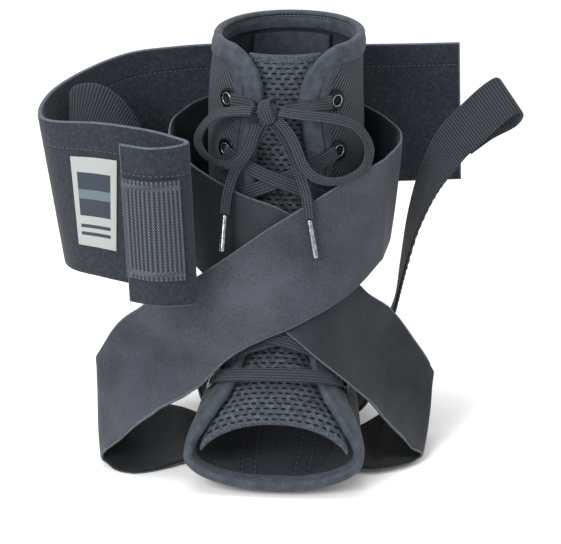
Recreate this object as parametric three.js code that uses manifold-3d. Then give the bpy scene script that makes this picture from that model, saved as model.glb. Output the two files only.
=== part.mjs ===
// Lace-up ankle brace, millimetres, +Z up. The foot points to -Y and the wearer's left is -X.
// The origin is on the floor, under the axis of the leg.
import * as THREE from 'three';
import Module from 'manifold-3d';
import { mergeVertices } from 'three/addons/utils/BufferGeometryUtils.js';

// Driving dimensions of the boot
const BRACE_HEIGHT = 236;
const LEG_WIDTH = 88;
const LEG_DEPTH = 98;
const FOOT_WIDTH = 96;
const FOOT_LENGTH = 157;
const SHELL_WALL = 3;
const TONGUE_WALL = 3.5;
const LINING_WALL = 1;
const LINING_HEIGHT = 62;
const BINDING_WIDTH = 9;
const BINDING_WALL = 1;
const HEEL_HOLE_WIDTH = 38;
const HEEL_HOLE_HEIGHT = 50;

// Driving dimensions of the straps, pulls and cuff
const STRAP_WALL = 2;
const OVER_REACH = 65;
const UNDER_REACH = 45;
const PULL_WIDTH = 24;
const PULL_WALL = 2;
const CUFF_WALL = 3;
const PATCH_WALL = 1;
const LABEL_WALL = 0.6;

// Driving dimensions of the lacing
const EYELET_RADIUS = 6;
const EYELET_BORE = 2.8;
const EYELET_THICKNESS = 1.4;
const LACE_WIDTH = 8;
const LACE_WALL = 1.2;
const LACE_TUBE = 2.4;
const AGLET_DIAMETER = 3;
const KNOT_SIZE = new THREE.Vector3(13, 9, 14);

// Clearances
const GAP = 0.3;
const CLOTH_GAP = 0.5;
const BINDING_GAP = 1.1;

// Layers over the boot surface, each one resting on the one below
const FLOOR_LAYERS = 2 * (STRAP_WALL + GAP);
const EYELET_SEAT = CLOTH_GAP;
const EYELET_LIFT = EYELET_RADIUS ** 2 / LEG_WIDTH;
const LACE_SEAT = Math.max(EYELET_SEAT + EYELET_THICKNESS + EYELET_LIFT, BINDING_GAP + BINDING_WALL) + GAP;
const CROSS_SEAT = LACE_SEAT + LACE_WALL + 2 * GAP;
const UNDER_SEAT = CROSS_SEAT + LACE_WALL + CLOTH_GAP;
const OVER_SEAT = UNDER_SEAT + STRAP_WALL + 2 * CLOTH_GAP;
const TONGUE_SEAT = SHELL_WALL + BINDING_GAP + BINDING_WALL + CLOTH_GAP + GAP;

// Sections of the boot, from the rim down to the toe. Lengths are shares of the leg's or the foot's own
// size, mixed by the foot column, and heights are shares of the brace height. The rim leans to +X,
// and sq is the power of the superellipse that rounds each section.
const SECTIONS = [
  { foot: 0.0, front: 0.459, frontUp: 0.9915, back: 0.51, backUp: 1.0, half: 0.47, lean: 0.02, sq: 2.1 },
  { foot: 0.0, front: 0.454, frontUp: 0.869, back: 0.5, backUp: 0.89, half: 0.494, lean: 0.0, sq: 2.1 },
  { foot: 0.0, front: 0.439, frontUp: 0.746, back: 0.469, backUp: 0.746, half: 0.506, lean: 0.0, sq: 2.1 },
  { foot: 0.1, front: 0.4235, frontUp: 0.623, back: 0.4235, backUp: 0.585, half: 0.4955, lean: 0.0, sq: 2.1 },
  { foot: 0.3, front: 0.432, frontUp: 0.5085, back: 0.38, backUp: 0.415, half: 0.465, lean: 0.0, sq: 2.1 },
  { foot: 0.5, front: 0.4706, frontUp: 0.415, back: 0.392, backUp: 0.237, half: 0.446, lean: 0.0, sq: 2.15 },
  { foot: 0.7, front: 0.5025, frontUp: 0.3475, back: 0.373, backUp: 0.093, half: 0.438, lean: 0.0, sq: 2.2 },
  { foot: 0.9, front: 0.5228, frontUp: 0.292, back: 0.238, backUp: 0.0, half: 0.441, lean: 0.0, sq: 2.3 },
  { foot: 1.0, front: 0.5605, frontUp: 0.246, back: 0.0, backUp: 0.0, half: 0.4635, lean: 0.0, sq: 2.4 },
  { foot: 1.0, front: 0.605, frontUp: 0.2076, back: -0.318, backUp: 0.0, half: 0.49, lean: 0.0, sq: 2.5 },
  { foot: 1.0, front: 0.637, frontUp: 0.1695, back: -0.6815, backUp: 0.02, half: 0.505, lean: 0.0, sq: 2.1 },
];
const TOE = SECTIONS.length - 1;

// Half angle of the opening down the front, in degrees either side of the middle, at each level
const OPENING = [
  { level: 0, half: 45 },
  { level: 0.07, half: 36 },
  { level: 0.2, half: 28 },
  { level: 0.42, half: 20 },
  { level: 0.65, half: 16 },
  { level: 0.9, half: 14.5 },
  { level: 1.5, half: 17 },
  { level: 2, half: 19.5 },
  { level: 4, half: 20 },
  { level: 6, half: 23 },
  { level: 7.5, half: 30 },
  { level: 8.4, half: 36 },
  { level: 9.1, half: 45 },
  { level: 9.6, half: 57 },
  { level: 9.85, half: 72 },
  { level: 10, half: 93 },
];

// Half angle that the tongue reaches behind the opening
const TONGUE_SPREAD = [
  { level: 0, half: 33 },
  { level: 0.6, half: 38 },
  { level: 4, half: 40 },
  { level: 7, half: 44 },
  { level: 9, half: 60 },
  { level: 10, half: 72 },
];
const TONGUE_TOP = 0.1;
const TONGUE_TOE = TOE - 0.05;

// Each strap is a row of stations along its length. The high and low edges have their own level and turn
// on the boot (turn 0 is the front, positive turns go to -X), and stand off its seat by a share of the
// strap's reach.
const OVER_STATIONS = [
  { seat: 'boot', high: [1.62, -126, 0.0], low: [3.22, -127, 0.0] },
  { seat: 'boot', high: [1.67, -111, 0.06], low: [3.28, -110, 0.1] },
  { seat: 'boot', high: [1.77, -98, 0.18], low: [3.38, -97, 0.19] },
  { seat: 'boot', high: [1.95, -84, 0.3], low: [3.61, -85, 0.24] },
  { seat: 'lacing', high: [2.17, -64, 0.13], low: [4.06, -67, 0.13] },
  { seat: 'lacing', high: [2.38, -41, 0.07], low: [4.58, -50, 0.08] },
  { seat: 'lacing', high: [2.97, -11, 0.03], low: [5.78, -13, 0.0] },
  { seat: 'lacing', high: [3.83, 21, 0.09], low: [7.03, 24, 0.0] },
  { seat: 'lacing', high: [4.64, 42, 0.32], low: [8.61, 52, 0.03] },
  { seat: 'boot', high: [5.28, 58, 0.73], low: [9.33, 78, 0.34] },
  { seat: 'boot', high: [6.02, 67, 0.9], low: [9.52, 92, 0.57] },
  { seat: 'boot', high: [7.31, 82, 1.0], low: [9.33, 100, 0.79] },
  { seat: 'boot', high: [7.64, 90, 0.88], low: [9.44, 102, 0.73] },
  { seat: 'boot', high: [7.91, 99, 0.66], low: [9.52, 105, 0.55] },
  { seat: 'boot', high: [7.72, 107, 0.4], low: [9.38, 110, 0.34] },
  { seat: 'floor', high: [7.75, 116, 0.19], low: [9.2, 120, 0.12] },
  { seat: 'floor', high: [7.95, 150, 0.0], low: [9.1, 150, 0.0] },
  { seat: 'floor', high: [7.5, 180, 0.0], low: [8.8, 180, 0.0] },
  { seat: 'floor', high: [6.95, 212, 0.0], low: [8.15, 212, 0.0] },
  { seat: 'floor', high: [6.3, 238, 0.12], low: [7.5, 245, 0.08] },
  { seat: 'floor', high: [5.84, 243, 0.22], low: [6.7, 258, 0.16] },
  { seat: 'floor', high: [5.31, 243, 0.33], low: [5.73, 262, 0.26] },
];
const UNDER_STATIONS = [
  { seat: 'boot', high: [1.47, 128, 0.0], low: [3.08, 129, 0.0] },
  { seat: 'boot', high: [1.53, 116, 0.1], low: [3.17, 112, 0.14] },
  { seat: 'boot', high: [1.64, 102, 0.29], low: [3.31, 99, 0.26] },
  { seat: 'boot', high: [1.89, 89, 0.45], low: [3.59, 87, 0.36] },
  { seat: 'lacing', high: [2.3, 53, 0.2], low: [4.2, 59, 0.2] },
  { seat: 'lacing', high: [2.72, 24, 0.03], low: [4.98, 32, 0.05] },
  { seat: 'lacing', high: [3.05, -3, 0.0], low: [5.97, -2, 0.0] },
  { seat: 'lacing', high: [3.91, -35, 0.03], low: [7.09, -26, 0.0] },
  { seat: 'lacing', high: [4.67, -56, 0.14], low: [7.98, -51, 0.0] },
  { seat: 'boot', high: [5.14, -70, 0.54], low: [8.73, -85, 0.25] },
  { seat: 'boot', high: [5.97, -77, 0.81], low: [9.0, -102, 0.6] },
  { seat: 'boot', high: [6.81, -84, 0.98], low: [8.91, -106, 0.8] },
  { seat: 'boot', high: [7.58, -94, 0.85], low: [9.11, -108, 0.7] },
  { seat: 'boot', high: [7.77, -105, 0.56], low: [9.28, -112, 0.44] },
  { seat: 'boot', high: [7.85, -107, 0.33], low: [9.35, -119, 0.22] },
  { seat: 'boot', high: [8.35, -150, 0.01], low: [9.35, -150, 0.0] },
  { seat: 'boot', high: [7.5, -180, 0.0], low: [8.8, -180, 0.0] },
  { seat: 'boot', high: [7.05, -212, 0.0], low: [8.45, -212, 0.0] },
  { seat: 'boot', high: [6.4, -238, 0.2], low: [7.75, -245, 0.14] },
  { seat: 'boot', high: [5.89, -245, 0.32], low: [6.75, -260, 0.26] },
  { seat: 'boot', high: [5.41, -248, 0.44], low: [5.85, -266, 0.38] },
];

// The pulls rise from the strap ends. Each row is the middle of the webbing as shares of the leg width,
// leg depth and brace height, with the direction across the webbing.
const PULL_RIGHT_ROWS = [
  { x: 0.727, y: 0.153, up: 0.305, across: [0.0, -1.0, 0.1] },
  { x: 0.77, y: 0.14, up: 0.403, across: [0.1, -1.0, 0.05] },
  { x: 0.83, y: 0.11, up: 0.521, across: [0.25, -0.95, -0.1] },
  { x: 0.926, y: 0.07, up: 0.631, across: [0.42, -0.8, -0.3] },
  { x: 1.06, y: 0.02, up: 0.725, across: [0.58, -0.5, -0.6] },
  { x: 1.216, y: -0.02, up: 0.792, across: [0.62, -0.28, -0.73] },
  { x: 1.33, y: -0.03, up: 0.835, across: [0.6, -0.2, -0.77] },
  { x: 1.42, y: -0.01, up: 0.855, across: [0.58, -0.15, -0.8] },
  { x: 1.45, y: 0.035, up: 0.84, across: [0.58, -0.15, -0.8] },
  { x: 1.4, y: 0.075, up: 0.81, across: [0.58, -0.18, -0.78] },
  { x: 1.25, y: 0.085, up: 0.775, across: [0.6, -0.25, -0.75] },
  { x: 1.12, y: 0.085, up: 0.735, across: [0.6, -0.4, -0.7] },
];
const PULL_LEFT_ROWS = [
  { x: -0.72, y: 0.05, up: 0.31, across: [0.0, -1.0, 0.1] },
  { x: -0.79, y: 0.04, up: 0.424, across: [-0.05, -1.0, 0.0] },
  { x: -0.865, y: 0.02, up: 0.58, across: [-0.15, -0.95, -0.15] },
  { x: -0.98, y: 0.0, up: 0.698, across: [-0.35, -0.75, -0.45] },
  { x: -1.11, y: -0.02, up: 0.776, across: [-0.45, -0.45, -0.75] },
  { x: -1.25, y: -0.03, up: 0.815, across: [-0.3, -0.3, -0.9] },
  { x: -1.38, y: -0.02, up: 0.808, across: [-0.05, -0.25, -0.95] },
  { x: -1.42, y: 0.03, up: 0.778, across: [0.0, -0.2, -0.97] },
  { x: -1.36, y: 0.08, up: 0.765, across: [-0.05, -0.2, -0.95] },
  { x: -1.23, y: 0.095, up: 0.75, across: [-0.25, -0.3, -0.9] },
];

// The cuff runs from its right end, behind the boot, round the left and forward to a folded tab. x and y
// are shares of the leg width and depth, y is measured back from the boot's back, up is a height share.
const CUFF_STATIONS = [
  { high: { x: 1.12, y: 0.05, up: 0.924 }, low: { x: 1.16, y: 0.05, up: 0.568 } },
  { high: { x: 0.68, y: 0.015, up: 0.921 }, low: { x: 0.7, y: 0.015, up: 0.563 } },
  { high: { x: 0.3, y: 0.0, up: 0.919 }, low: { x: 0.31, y: 0.0, up: 0.558 } },
  { high: { x: -0.1, y: 0.0, up: 0.917 }, low: { x: -0.1, y: 0.0, up: 0.553 } },
  { high: { x: -0.5, y: 0.01, up: 0.915 }, low: { x: -0.48, y: 0.01, up: 0.547 } },
  { high: { x: -0.82, y: 0.02, up: 0.904 }, low: { x: -0.77, y: 0.015, up: 0.535 } },
  { high: { x: -1.1, y: -0.01, up: 0.89 }, low: { x: -1.02, y: -0.035, up: 0.517 } },
  { high: { x: -1.35, y: -0.17, up: 0.864 }, low: { x: -1.23, y: -0.19, up: 0.487 } },
  { high: { x: -1.52, y: -0.43, up: 0.839 }, low: { x: -1.37, y: -0.43, up: 0.462 } },
  { high: { x: -1.555, y: -0.67, up: 0.816 }, low: { x: -1.41, y: -0.67, up: 0.442 } },
  { high: { x: -1.455, y: -0.855, up: 0.813 }, low: { x: -1.34, y: -0.865, up: 0.442 } },
  { high: { x: -1.11, y: -1.04, up: 0.83 }, low: { x: -1.11, y: -1.04, up: 0.449 } },
  { high: { x: -0.8, y: -1.16, up: 0.83 }, low: { x: -0.86, y: -1.15, up: 0.447 } },
  { high: { x: -0.605, y: -1.25, up: 0.824 }, low: { x: -0.59, y: -1.25, up: 0.44 } },
  { high: { x: -0.522, y: -1.325, up: 0.822 }, low: { x: -0.485, y: -1.33, up: 0.436 } },
  { high: { x: -0.58, y: -1.425, up: 0.822 }, low: { x: -0.535, y: -1.42, up: 0.44 } },
  { high: { x: -0.745, y: -1.485, up: 0.822 }, low: { x: -0.715, y: -1.48, up: 0.445 } },
  { high: { x: -0.942, y: -1.415, up: 0.822 }, low: { x: -0.907, y: -1.4, up: 0.443 } },
];
const PATCH_SPAN = { from: 15.05, to: 16.95, high: 0.2, low: 0.83 };
const LABEL_SPAN = { from: 10.44, to: 11.4, high: 0.22, low: 0.8 };

// Eyelets down each side of the opening, and which rows the lace crosses between
const EYELET_ROWS = [
  { level: 1.0, turn: 41 },
  { level: 1.98, turn: 42 },
  { level: 2.95, turn: 42 },
  { level: 4.1, turn: 42 },
  { level: 5.6, turn: 43 },
  { level: 7.62, turn: 51 },
];
const CROSSINGS = [[1, 2], [2, 3], [3, 4], [4, 5]];

// Routes of the shoelace's free stretches, chosen by hand, and the knot they leave
const KNOT_AT = new THREE.Vector3(-6.8, -51.6, 203.2);
const LOOP_LEFT_ROUTE = [
  [-14.9, -52.0, 203.2], [-22.8, -49.6, 202.6], [-33.3, -43.0, 199.2], [-40.8, -36.2, 192.8],
  [-45.9, -30.7, 184.4], [-46.7, -30.2, 178.0], [-42.3, -36.0, 173.3], [-33.6, -44.6, 171.2],
  [-26.6, -49.4, 172.4], [-20.3, -52.0, 177.2], [-16.4, -52.8, 184.3], [-14.2, -53.4, 191.4],
  [-12.4, -53.4, 196.0],
];
const LOOP_RIGHT_ROUTE = [
  [-0.1, -53.2, 203.9], [10.6, -54.5, 202.6], [23.3, -50.4, 200.4], [32.9, -45.0, 197.3],
  [40.8, -37.8, 192.2], [46.0, -32.8, 184.3], [48.3, -32.4, 176.3], [46.0, -41.0, 169.6],
  [38.6, -49.2, 166.2], [28.5, -54.8, 165.4], [19.2, -57.0, 168.4], [12.8, -56.2, 174.6],
  [8.6, -55.2, 185.0], [4.5, -55.0, 193.0], [-1.3, -53.8, 199.0],
];
const END_LEFT_ROUTE = [
  [-8.1, -49.4, 196.6], [-13.4, -47.4, 185.9], [-19.6, -47.4, 176.3], [-24.8, -47.4, 168.0],
  [-27.6, -50.6, 160.8], [-29.2, -54.2, 153.0], [-29.9, -57.6, 146.4],
];
const END_RIGHT_ROUTE = [
  [-3.8, -50.4, 196.7], [1.8, -49.0, 188.6], [5.8, -48.4, 180.2], [10.0, -50.4, 170.4],
  [14.0, -55.2, 160.8], [15.7, -57.6, 153.3], [16.6, -58.8, 145.0],
];
const AGLET_LEFT_TIP = [-30.9, -64.8, 127.0];
const AGLET_RIGHT_TIP = [20.7, -62.6, 123.6];

// Colours and finishes from the photograph
const FINISH = {
  nylon: new THREE.MeshStandardMaterial({ color: 0x33363f, roughness: 0.85, metalness: 0 }),
  tape: new THREE.MeshStandardMaterial({ color: 0x48525c, roughness: 0.8, metalness: 0 }),
  mesh: new THREE.MeshStandardMaterial({ color: 0x3a3f47, roughness: 0.9, metalness: 0 }),
  strap: new THREE.MeshStandardMaterial({ color: 0x4b4f5a, roughness: 0.75, metalness: 0 }),
  webbing: new THREE.MeshStandardMaterial({ color: 0x3b3f49, roughness: 0.8, metalness: 0 }),
  fuzz: new THREE.MeshStandardMaterial({ color: 0x3c3f4a, roughness: 1, metalness: 0 }),
  label: new THREE.MeshStandardMaterial({ color: 0xbfc3bf, roughness: 0.8, metalness: 0 }),
  lace: new THREE.MeshStandardMaterial({ color: 0x30343d, roughness: 0.85, metalness: 0 }),
  black: new THREE.MeshStandardMaterial({ color: 0x1b1d22, roughness: 0.35, metalness: 0.6 }),
  metal: new THREE.MeshStandardMaterial({ color: 0xa9adb3, roughness: 0.3, metalness: 1 }),
};

const brace = new THREE.Group();

function addPiece(name, geometry, material) {
  const piece = new THREE.Mesh(geometry, material);
  piece.name = name;
  brace.add(piece);
  return piece;
}

// Smooth value between the rows of a table, through every row
function spline(values, at) {
  const last = values.length - 1;
  const i = Math.min(Math.max(Math.floor(at), 0), last - 1);
  const f = at - i;
  const p1 = values[i];
  const p2 = values[i + 1];
  const p0 = i > 0 ? values[i - 1] : 2 * p1 - p2;
  const p3 = i + 2 <= last ? values[i + 2] : 2 * p2 - p1;
  const cubic = (3 * p1 - p0 - 3 * p2 + p3) * f ** 3;
  const square = (2 * p0 - 5 * p1 + 4 * p2 - p3) * f ** 2;
  return 0.5 * (2 * p1 + (p2 - p0) * f + square + cubic);
}

// Straight-line value of a table keyed by level
function lookUp(table, level) {
  let i = 0;
  while (i < table.length - 2 && table[i + 1].level < level) i += 1;
  const share = (level - table[i].level) / (table[i + 1].level - table[i].level);
  return THREE.MathUtils.lerp(table[i].half, table[i + 1].half, THREE.MathUtils.clamp(share, 0, 1));
}

const SECTION_LENGTHS = SECTIONS.map((row) => {
  const deep = THREE.MathUtils.lerp(LEG_DEPTH, FOOT_LENGTH, row.foot);
  const wide = THREE.MathUtils.lerp(LEG_WIDTH, FOOT_WIDTH, row.foot);
  return {
    frontY: -row.front * deep,
    frontZ: row.frontUp * BRACE_HEIGHT,
    backY: row.back * deep,
    backZ: row.backUp * BRACE_HEIGHT,
    half: row.half * wide,
    lean: row.lean * wide,
    sq: row.sq,
  };
});
const SECTION_COLUMNS = {};
for (const key of Object.keys(SECTION_LENGTHS[0])) {
  SECTION_COLUMNS[key] = SECTION_LENGTHS.map((row) => row[key]);
}

// Outside surface of the boot
function surface(level, turn) {
  const frontY = spline(SECTION_COLUMNS.frontY, level);
  const frontZ = spline(SECTION_COLUMNS.frontZ, level);
  const backY = spline(SECTION_COLUMNS.backY, level);
  const backZ = spline(SECTION_COLUMNS.backZ, level);
  const half = spline(SECTION_COLUMNS.half, level);
  const lean = spline(SECTION_COLUMNS.lean, level);
  const power = 2 / spline(SECTION_COLUMNS.sq, level);
  const angle = THREE.MathUtils.degToRad(turn);
  const c = Math.sign(Math.cos(angle)) * Math.abs(Math.cos(angle)) ** power;
  const s = Math.sign(Math.sin(angle)) * Math.abs(Math.sin(angle)) ** power;
  const y = (frontY + backY) / 2 + ((frontY - backY) / 2) * c;
  const z = (frontZ + backZ) / 2 + ((frontZ - backZ) / 2) * c;
  return new THREE.Vector3(lean - half * s, y, Math.max(z, FLOOR_LAYERS));
}

const NUDGE = { level: 0.02, turn: 0.5 };

function surfaceNormal(level, turn) {
  const down = surface(level + NUDGE.level, turn).sub(surface(level - NUDGE.level, turn));
  const round = surface(level, turn + NUDGE.turn).sub(surface(level, turn - NUDGE.turn));
  return round.cross(down).normalize();
}

function offSurface(level, turn, out) {
  return surface(level, turn).addScaledVector(surfaceNormal(level, turn), out);
}

// Closed solid between two grids of points that have the same rows and columns
function solidBetween(outer, inner) {
  const rows = outer.length;
  const cols = outer[0].length;
  const points = [...outer.flat(), ...inner.flat()];
  const at = (side, r, c) => side * rows * cols + r * cols + c;
  const faces = [];
  const quad = (a, b, c, d) => faces.push(a, b, c, a, c, d);
  const crossQuad = (a, b, c, d) => quad(b, c, d, a);
  for (let r = 0; r < rows - 1; r += 1) {
    for (let c = 0; c < cols - 1; c += 1) {
      const cell = 2 * c < cols - 1 ? quad : crossQuad;
      cell(at(0, r, c), at(0, r, c + 1), at(0, r + 1, c + 1), at(0, r + 1, c));
      cell(at(1, r, c), at(1, r + 1, c), at(1, r + 1, c + 1), at(1, r, c + 1));
    }
  }
  for (let c = 0; c < cols - 1; c += 1) {
    quad(at(0, 0, c), at(1, 0, c), at(1, 0, c + 1), at(0, 0, c + 1));
    quad(at(0, rows - 1, c), at(0, rows - 1, c + 1), at(1, rows - 1, c + 1), at(1, rows - 1, c));
  }
  for (let r = 0; r < rows - 1; r += 1) {
    quad(at(0, r, 0), at(0, r + 1, 0), at(1, r + 1, 0), at(1, r, 0));
    quad(at(0, r, cols - 1), at(1, r, cols - 1), at(1, r + 1, cols - 1), at(0, r + 1, cols - 1));
  }
  return facingOut(points, faces);
}

// Closed tube through rings of points that follow a closed loop, split along the shorter diagonals
function solidLoop(rings) {
  const sides = rings[0].length;
  const faces = [];
  rings.forEach((ring, r) => {
    const next = (r + 1) % rings.length;
    for (let s = 0; s < sides; s += 1) {
      const t = (s + 1) % sides;
      const [a, b, c, d] = [r * sides + s, next * sides + s, next * sides + t, r * sides + t];
      const straight = ring[s].distanceTo(rings[next][t]) < rings[next][s].distanceTo(ring[t]);
      if (straight) faces.push(a, b, c, a, c, d);
      else faces.push(b, c, d, b, d, a);
    }
  });
  return facingOut(rings.flat(), faces);
}

// Geometry with its faces turned outward, whichever way the grids ran
function facingOut(points, faces) {
  let volume = 0;
  for (let i = 0; i < faces.length; i += 3) {
    const [a, b, c] = [points[faces[i]], points[faces[i + 1]], points[faces[i + 2]]];
    volume += a.dot(b.clone().cross(c));
  }
  const ordered = volume > 0 ? faces : faces.slice().reverse();
  const geometry = new THREE.BufferGeometry();
  geometry.setAttribute('position', new THREE.Float32BufferAttribute(points.flatMap((p) => p.toArray()), 3));
  geometry.setIndex(ordered);
  geometry.computeVertexNormals();
  return geometry;
}

const WELD = 0.001;

function merged(geometry) {
  const bare = geometry.clone();
  bare.deleteAttribute('normal');
  bare.deleteAttribute('uv');
  const welded = mergeVertices(bare, WELD);
  welded.computeVertexNormals();
  return welded;
}

const steps = (count, from, to) => {
  return Array.from({ length: count + 1 }, (_, i) => THREE.MathUtils.lerp(from, to, i / count));
};

// The boot: one wrap from the left edge of the opening, round the back, to the right edge
const SHELL_LEVELS = [0, 0.07, 0.2, 0.42, 0.65, 0.9, ...steps(8, 1.4, 7.2), 7.7, 8.1, 8.5, 8.9, 9.2, 9.4,
  9.55, 9.68, 9.78, 9.86, 9.93, TOE];
const SHELL_TURNS = 30;

function shellTurns(level) {
  const half = lookUp(OPENING, level);
  return steps(SHELL_TURNS, half, 360 - half);
}

function shellGrid(out) {
  return SHELL_LEVELS.map((level) => shellTurns(level).map((turn) => offSurface(level, turn, out)));
}

// Closed solid for cutting and joining
const wasm = await Module();
wasm.setup();

function toManifold(geometry) {
  const welded = merged(geometry);
  return new wasm.Manifold(new wasm.Mesh({
    numProp: 3,
    vertProperties: Float32Array.from(welded.attributes.position.array),
    triVerts: Uint32Array.from(welded.index.array),
  }));
}

function fromManifold(solid) {
  const mesh = solid.getMesh();
  const geometry = new THREE.BufferGeometry();
  geometry.setAttribute('position', new THREE.Float32BufferAttribute(mesh.vertProperties, 3));
  geometry.setIndex(Array.from(mesh.triVerts));
  geometry.computeVertexNormals();
  return geometry;
}

// The bare heel shows through an oval hole low at the back
const HEEL_HOLE_LEVEL = 5.75;
const HEEL_HOLE_DEPTH = 34;
const HEEL_HOLE_SIDES = 24;

function heelHole() {
  const oval = new THREE.Shape();
  oval.absellipse(0, 0, HEEL_HOLE_WIDTH / 2, HEEL_HOLE_HEIGHT / 2, 0, 2 * Math.PI);
  const plug = new THREE.ExtrudeGeometry(oval, {
    depth: HEEL_HOLE_DEPTH,
    bevelEnabled: false,
    curveSegments: HEEL_HOLE_SIDES,
  });
  plug.translate(0, 0, -HEEL_HOLE_DEPTH / 2);
  const aim = new THREE.Quaternion().setFromUnitVectors(
    new THREE.Vector3(0, 0, 1),
    surfaceNormal(HEEL_HOLE_LEVEL, 180),
  );
  plug.applyQuaternion(aim);
  const middle = surface(HEEL_HOLE_LEVEL, 180);
  plug.translate(middle.x, middle.y, middle.z);
  return plug;
}

const wrap = solidBetween(shellGrid(0), shellGrid(-SHELL_WALL));
addPiece('boot_shell', fromManifold(toManifold(wrap).subtract(toManifold(heelHole()))), FINISH.nylon);

// The edge binding folds over the whole free edge of the boot: rim, lapels, slot, toe opening and sole
function boundary() {
  const rim = shellTurns(0).map((turn) => [0, turn]);
  const right = SHELL_LEVELS.slice(1).map((level) => [level, 360 - lookUp(OPENING, level)]);
  const lip = shellTurns(TOE).reverse().slice(1).map((turn) => [TOE, turn]);
  const left = SHELL_LEVELS.slice(1, -1).reverse().map((level) => [level, lookUp(OPENING, level)]);
  return [...rim, ...right, ...lip, ...left];
}

function bindingSection(level, turn, inward) {
  const down = surface(level + NUDGE.level, turn).sub(surface(level - NUDGE.level, turn));
  const round = surface(level, turn + NUDGE.turn).sub(surface(level, turn - NUDGE.turn));
  down.divideScalar(2 * NUDGE.level);
  round.divideScalar(2 * NUDGE.turn);
  const dd = down.dot(down);
  const rr = round.dot(round);
  const dr = down.dot(round);
  const det = dd * rr - dr * dr;
  const alongDown = (inward.dot(down) * rr - inward.dot(round) * dr) / det;
  const alongRound = (inward.dot(round) * dd - inward.dot(down) * dr) / det;
  const spot = (reach, out) => offSurface(level + alongDown * reach, turn + alongRound * reach, out);
  const near = -BINDING_GAP;
  const far = -BINDING_GAP - BINDING_WALL;
  const outFace = BINDING_GAP;
  const inFace = -SHELL_WALL - BINDING_GAP;
  return [
    spot(BINDING_WIDTH, outFace + BINDING_WALL),
    spot(far, outFace + BINDING_WALL),
    spot(far, inFace - BINDING_WALL),
    spot(BINDING_WIDTH, inFace - BINDING_WALL),
    spot(BINDING_WIDTH, inFace),
    spot(near, inFace),
    spot(near, outFace),
    spot(BINDING_WIDTH, outFace),
  ];
}

const SHARPEST_CORNER = 0.6;

function bindingLoop() {
  const edge = boundary();
  const points = edge.map(([level, turn]) => surface(level, turn));
  return edge.map(([level, turn], i) => {
    const before = points[(i + points.length - 1) % points.length];
    const after = points[(i + 1) % points.length];
    const along = after.clone().sub(before).normalize();
    const corner = Math.max(along.dot(after.clone().sub(points[i]).normalize()), SHARPEST_CORNER);
    const inward = surfaceNormal(level, turn).cross(along).normalize();
    return bindingSection(level, turn, inward.divideScalar(corner));
  });
}
addPiece('edge_binding', solidLoop(bindingLoop()), FINISH.tape);

// The tongue lies behind the opening, tucked under both edges
const TONGUE_ROWS = 18;
const TONGUE_LEVELS = steps(TONGUE_ROWS, TONGUE_TOP, TONGUE_TOE);
const TONGUE_TURNS = 10;

function tongueGrid(out) {
  return TONGUE_LEVELS.map((level) => {
    const half = lookUp(TONGUE_SPREAD, level);
    return steps(TONGUE_TURNS, half, -half).map((turn) => offSurface(level, turn, out));
  });
}
const tongueOuter = tongueGrid(-TONGUE_SEAT);
const tongueInner = tongueGrid(-TONGUE_SEAT - TONGUE_WALL);
addPiece('tongue', solidBetween(tongueOuter, tongueInner), FINISH.mesh);

// Smooth panel inside the back of the leg, below the binding
const LINING_HALF = 36;
const LINING_SEAT = SHELL_WALL + CLOTH_GAP;
const LINING_ROWS = 6;
const LINING_COLUMNS = 8;

function liningGrid(out) {
  const legRise = surface(0, 180).z - surface(1, 180).z;
  const top = (BINDING_WIDTH + 2 * CLOTH_GAP) / legRise;
  const bottom = top + LINING_HEIGHT / legRise;
  const turns = steps(LINING_COLUMNS, 180 - LINING_HALF, 180 + LINING_HALF);
  return steps(LINING_ROWS, top, bottom).map((level) => turns.map((turn) => offSurface(level, turn, out)));
}
const lining = solidBetween(liningGrid(-LINING_SEAT), liningGrid(-LINING_SEAT - LINING_WALL));
addPiece('back_lining', lining, FINISH.tape);

// Grommets beside the opening
const EYELET_SIDES = 10;

function eyeletRing() {
  const profile = [
    [EYELET_BORE, 0],
    [EYELET_RADIUS, 0],
    [EYELET_RADIUS - EYELET_THICKNESS / 2, EYELET_THICKNESS],
    [EYELET_BORE, EYELET_THICKNESS],
    [EYELET_BORE, 0],
  ];
  return merged(new THREE.LatheGeometry(profile.map(([x, y]) => new THREE.Vector2(x, y)), EYELET_SIDES));
}

function addEyelets(side, sign) {
  EYELET_ROWS.forEach(({ level, turn }, i) => {
    const ring = addPiece(`eyelet_${side}_${i + 1}`, eyeletRing(), FINISH.black);
    const normal = surfaceNormal(level, sign * turn);
    ring.position.copy(offSurface(level, sign * turn, EYELET_SEAT));
    ring.quaternion.setFromUnitVectors(new THREE.Vector3(0, 1, 0), normal);
  });
}
addEyelets('left', 1);
addEyelets('right', -1);

// Flat lace between two spots on the boot, following it at one seat
const LACE_STEPS = 10;
const LACE_INSET = 3;
const LAST_CROSSING_RISE = 0.55;

function laceBand(from, to, seat) {
  const spots = steps(LACE_STEPS, 0, 1).map((share) => ({
    level: THREE.MathUtils.lerp(from.level, to.level, share),
    turn: THREE.MathUtils.lerp(from.turn, to.turn, share),
  }));
  const middle = spots.map(({ level, turn }) => surface(level, turn));
  const grid = (out) => spots.map(({ level, turn }, i) => {
    const along = middle[Math.min(i + 1, LACE_STEPS)].clone().sub(middle[Math.max(i - 1, 0)]).normalize();
    const normal = surfaceNormal(level, turn);
    const across = normal.clone().cross(along).normalize();
    const centre = offSurface(level, turn, out);
    return [-0.5, 0.5].map((share) => centre.clone().addScaledVector(across, share * LACE_WIDTH));
  });
  return solidBetween(grid(seat + LACE_WALL), grid(seat));
}

// Each lace runs from the rim of one eyelet to the rim of the other. The last crossing ends above the bar.
function beside(row, sign) {
  return { level: row.level, turn: sign * (row.turn - LACE_INSET) };
}

function above(row, sign) {
  return { level: row.level - LAST_CROSSING_RISE, turn: sign * row.turn };
}

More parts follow.
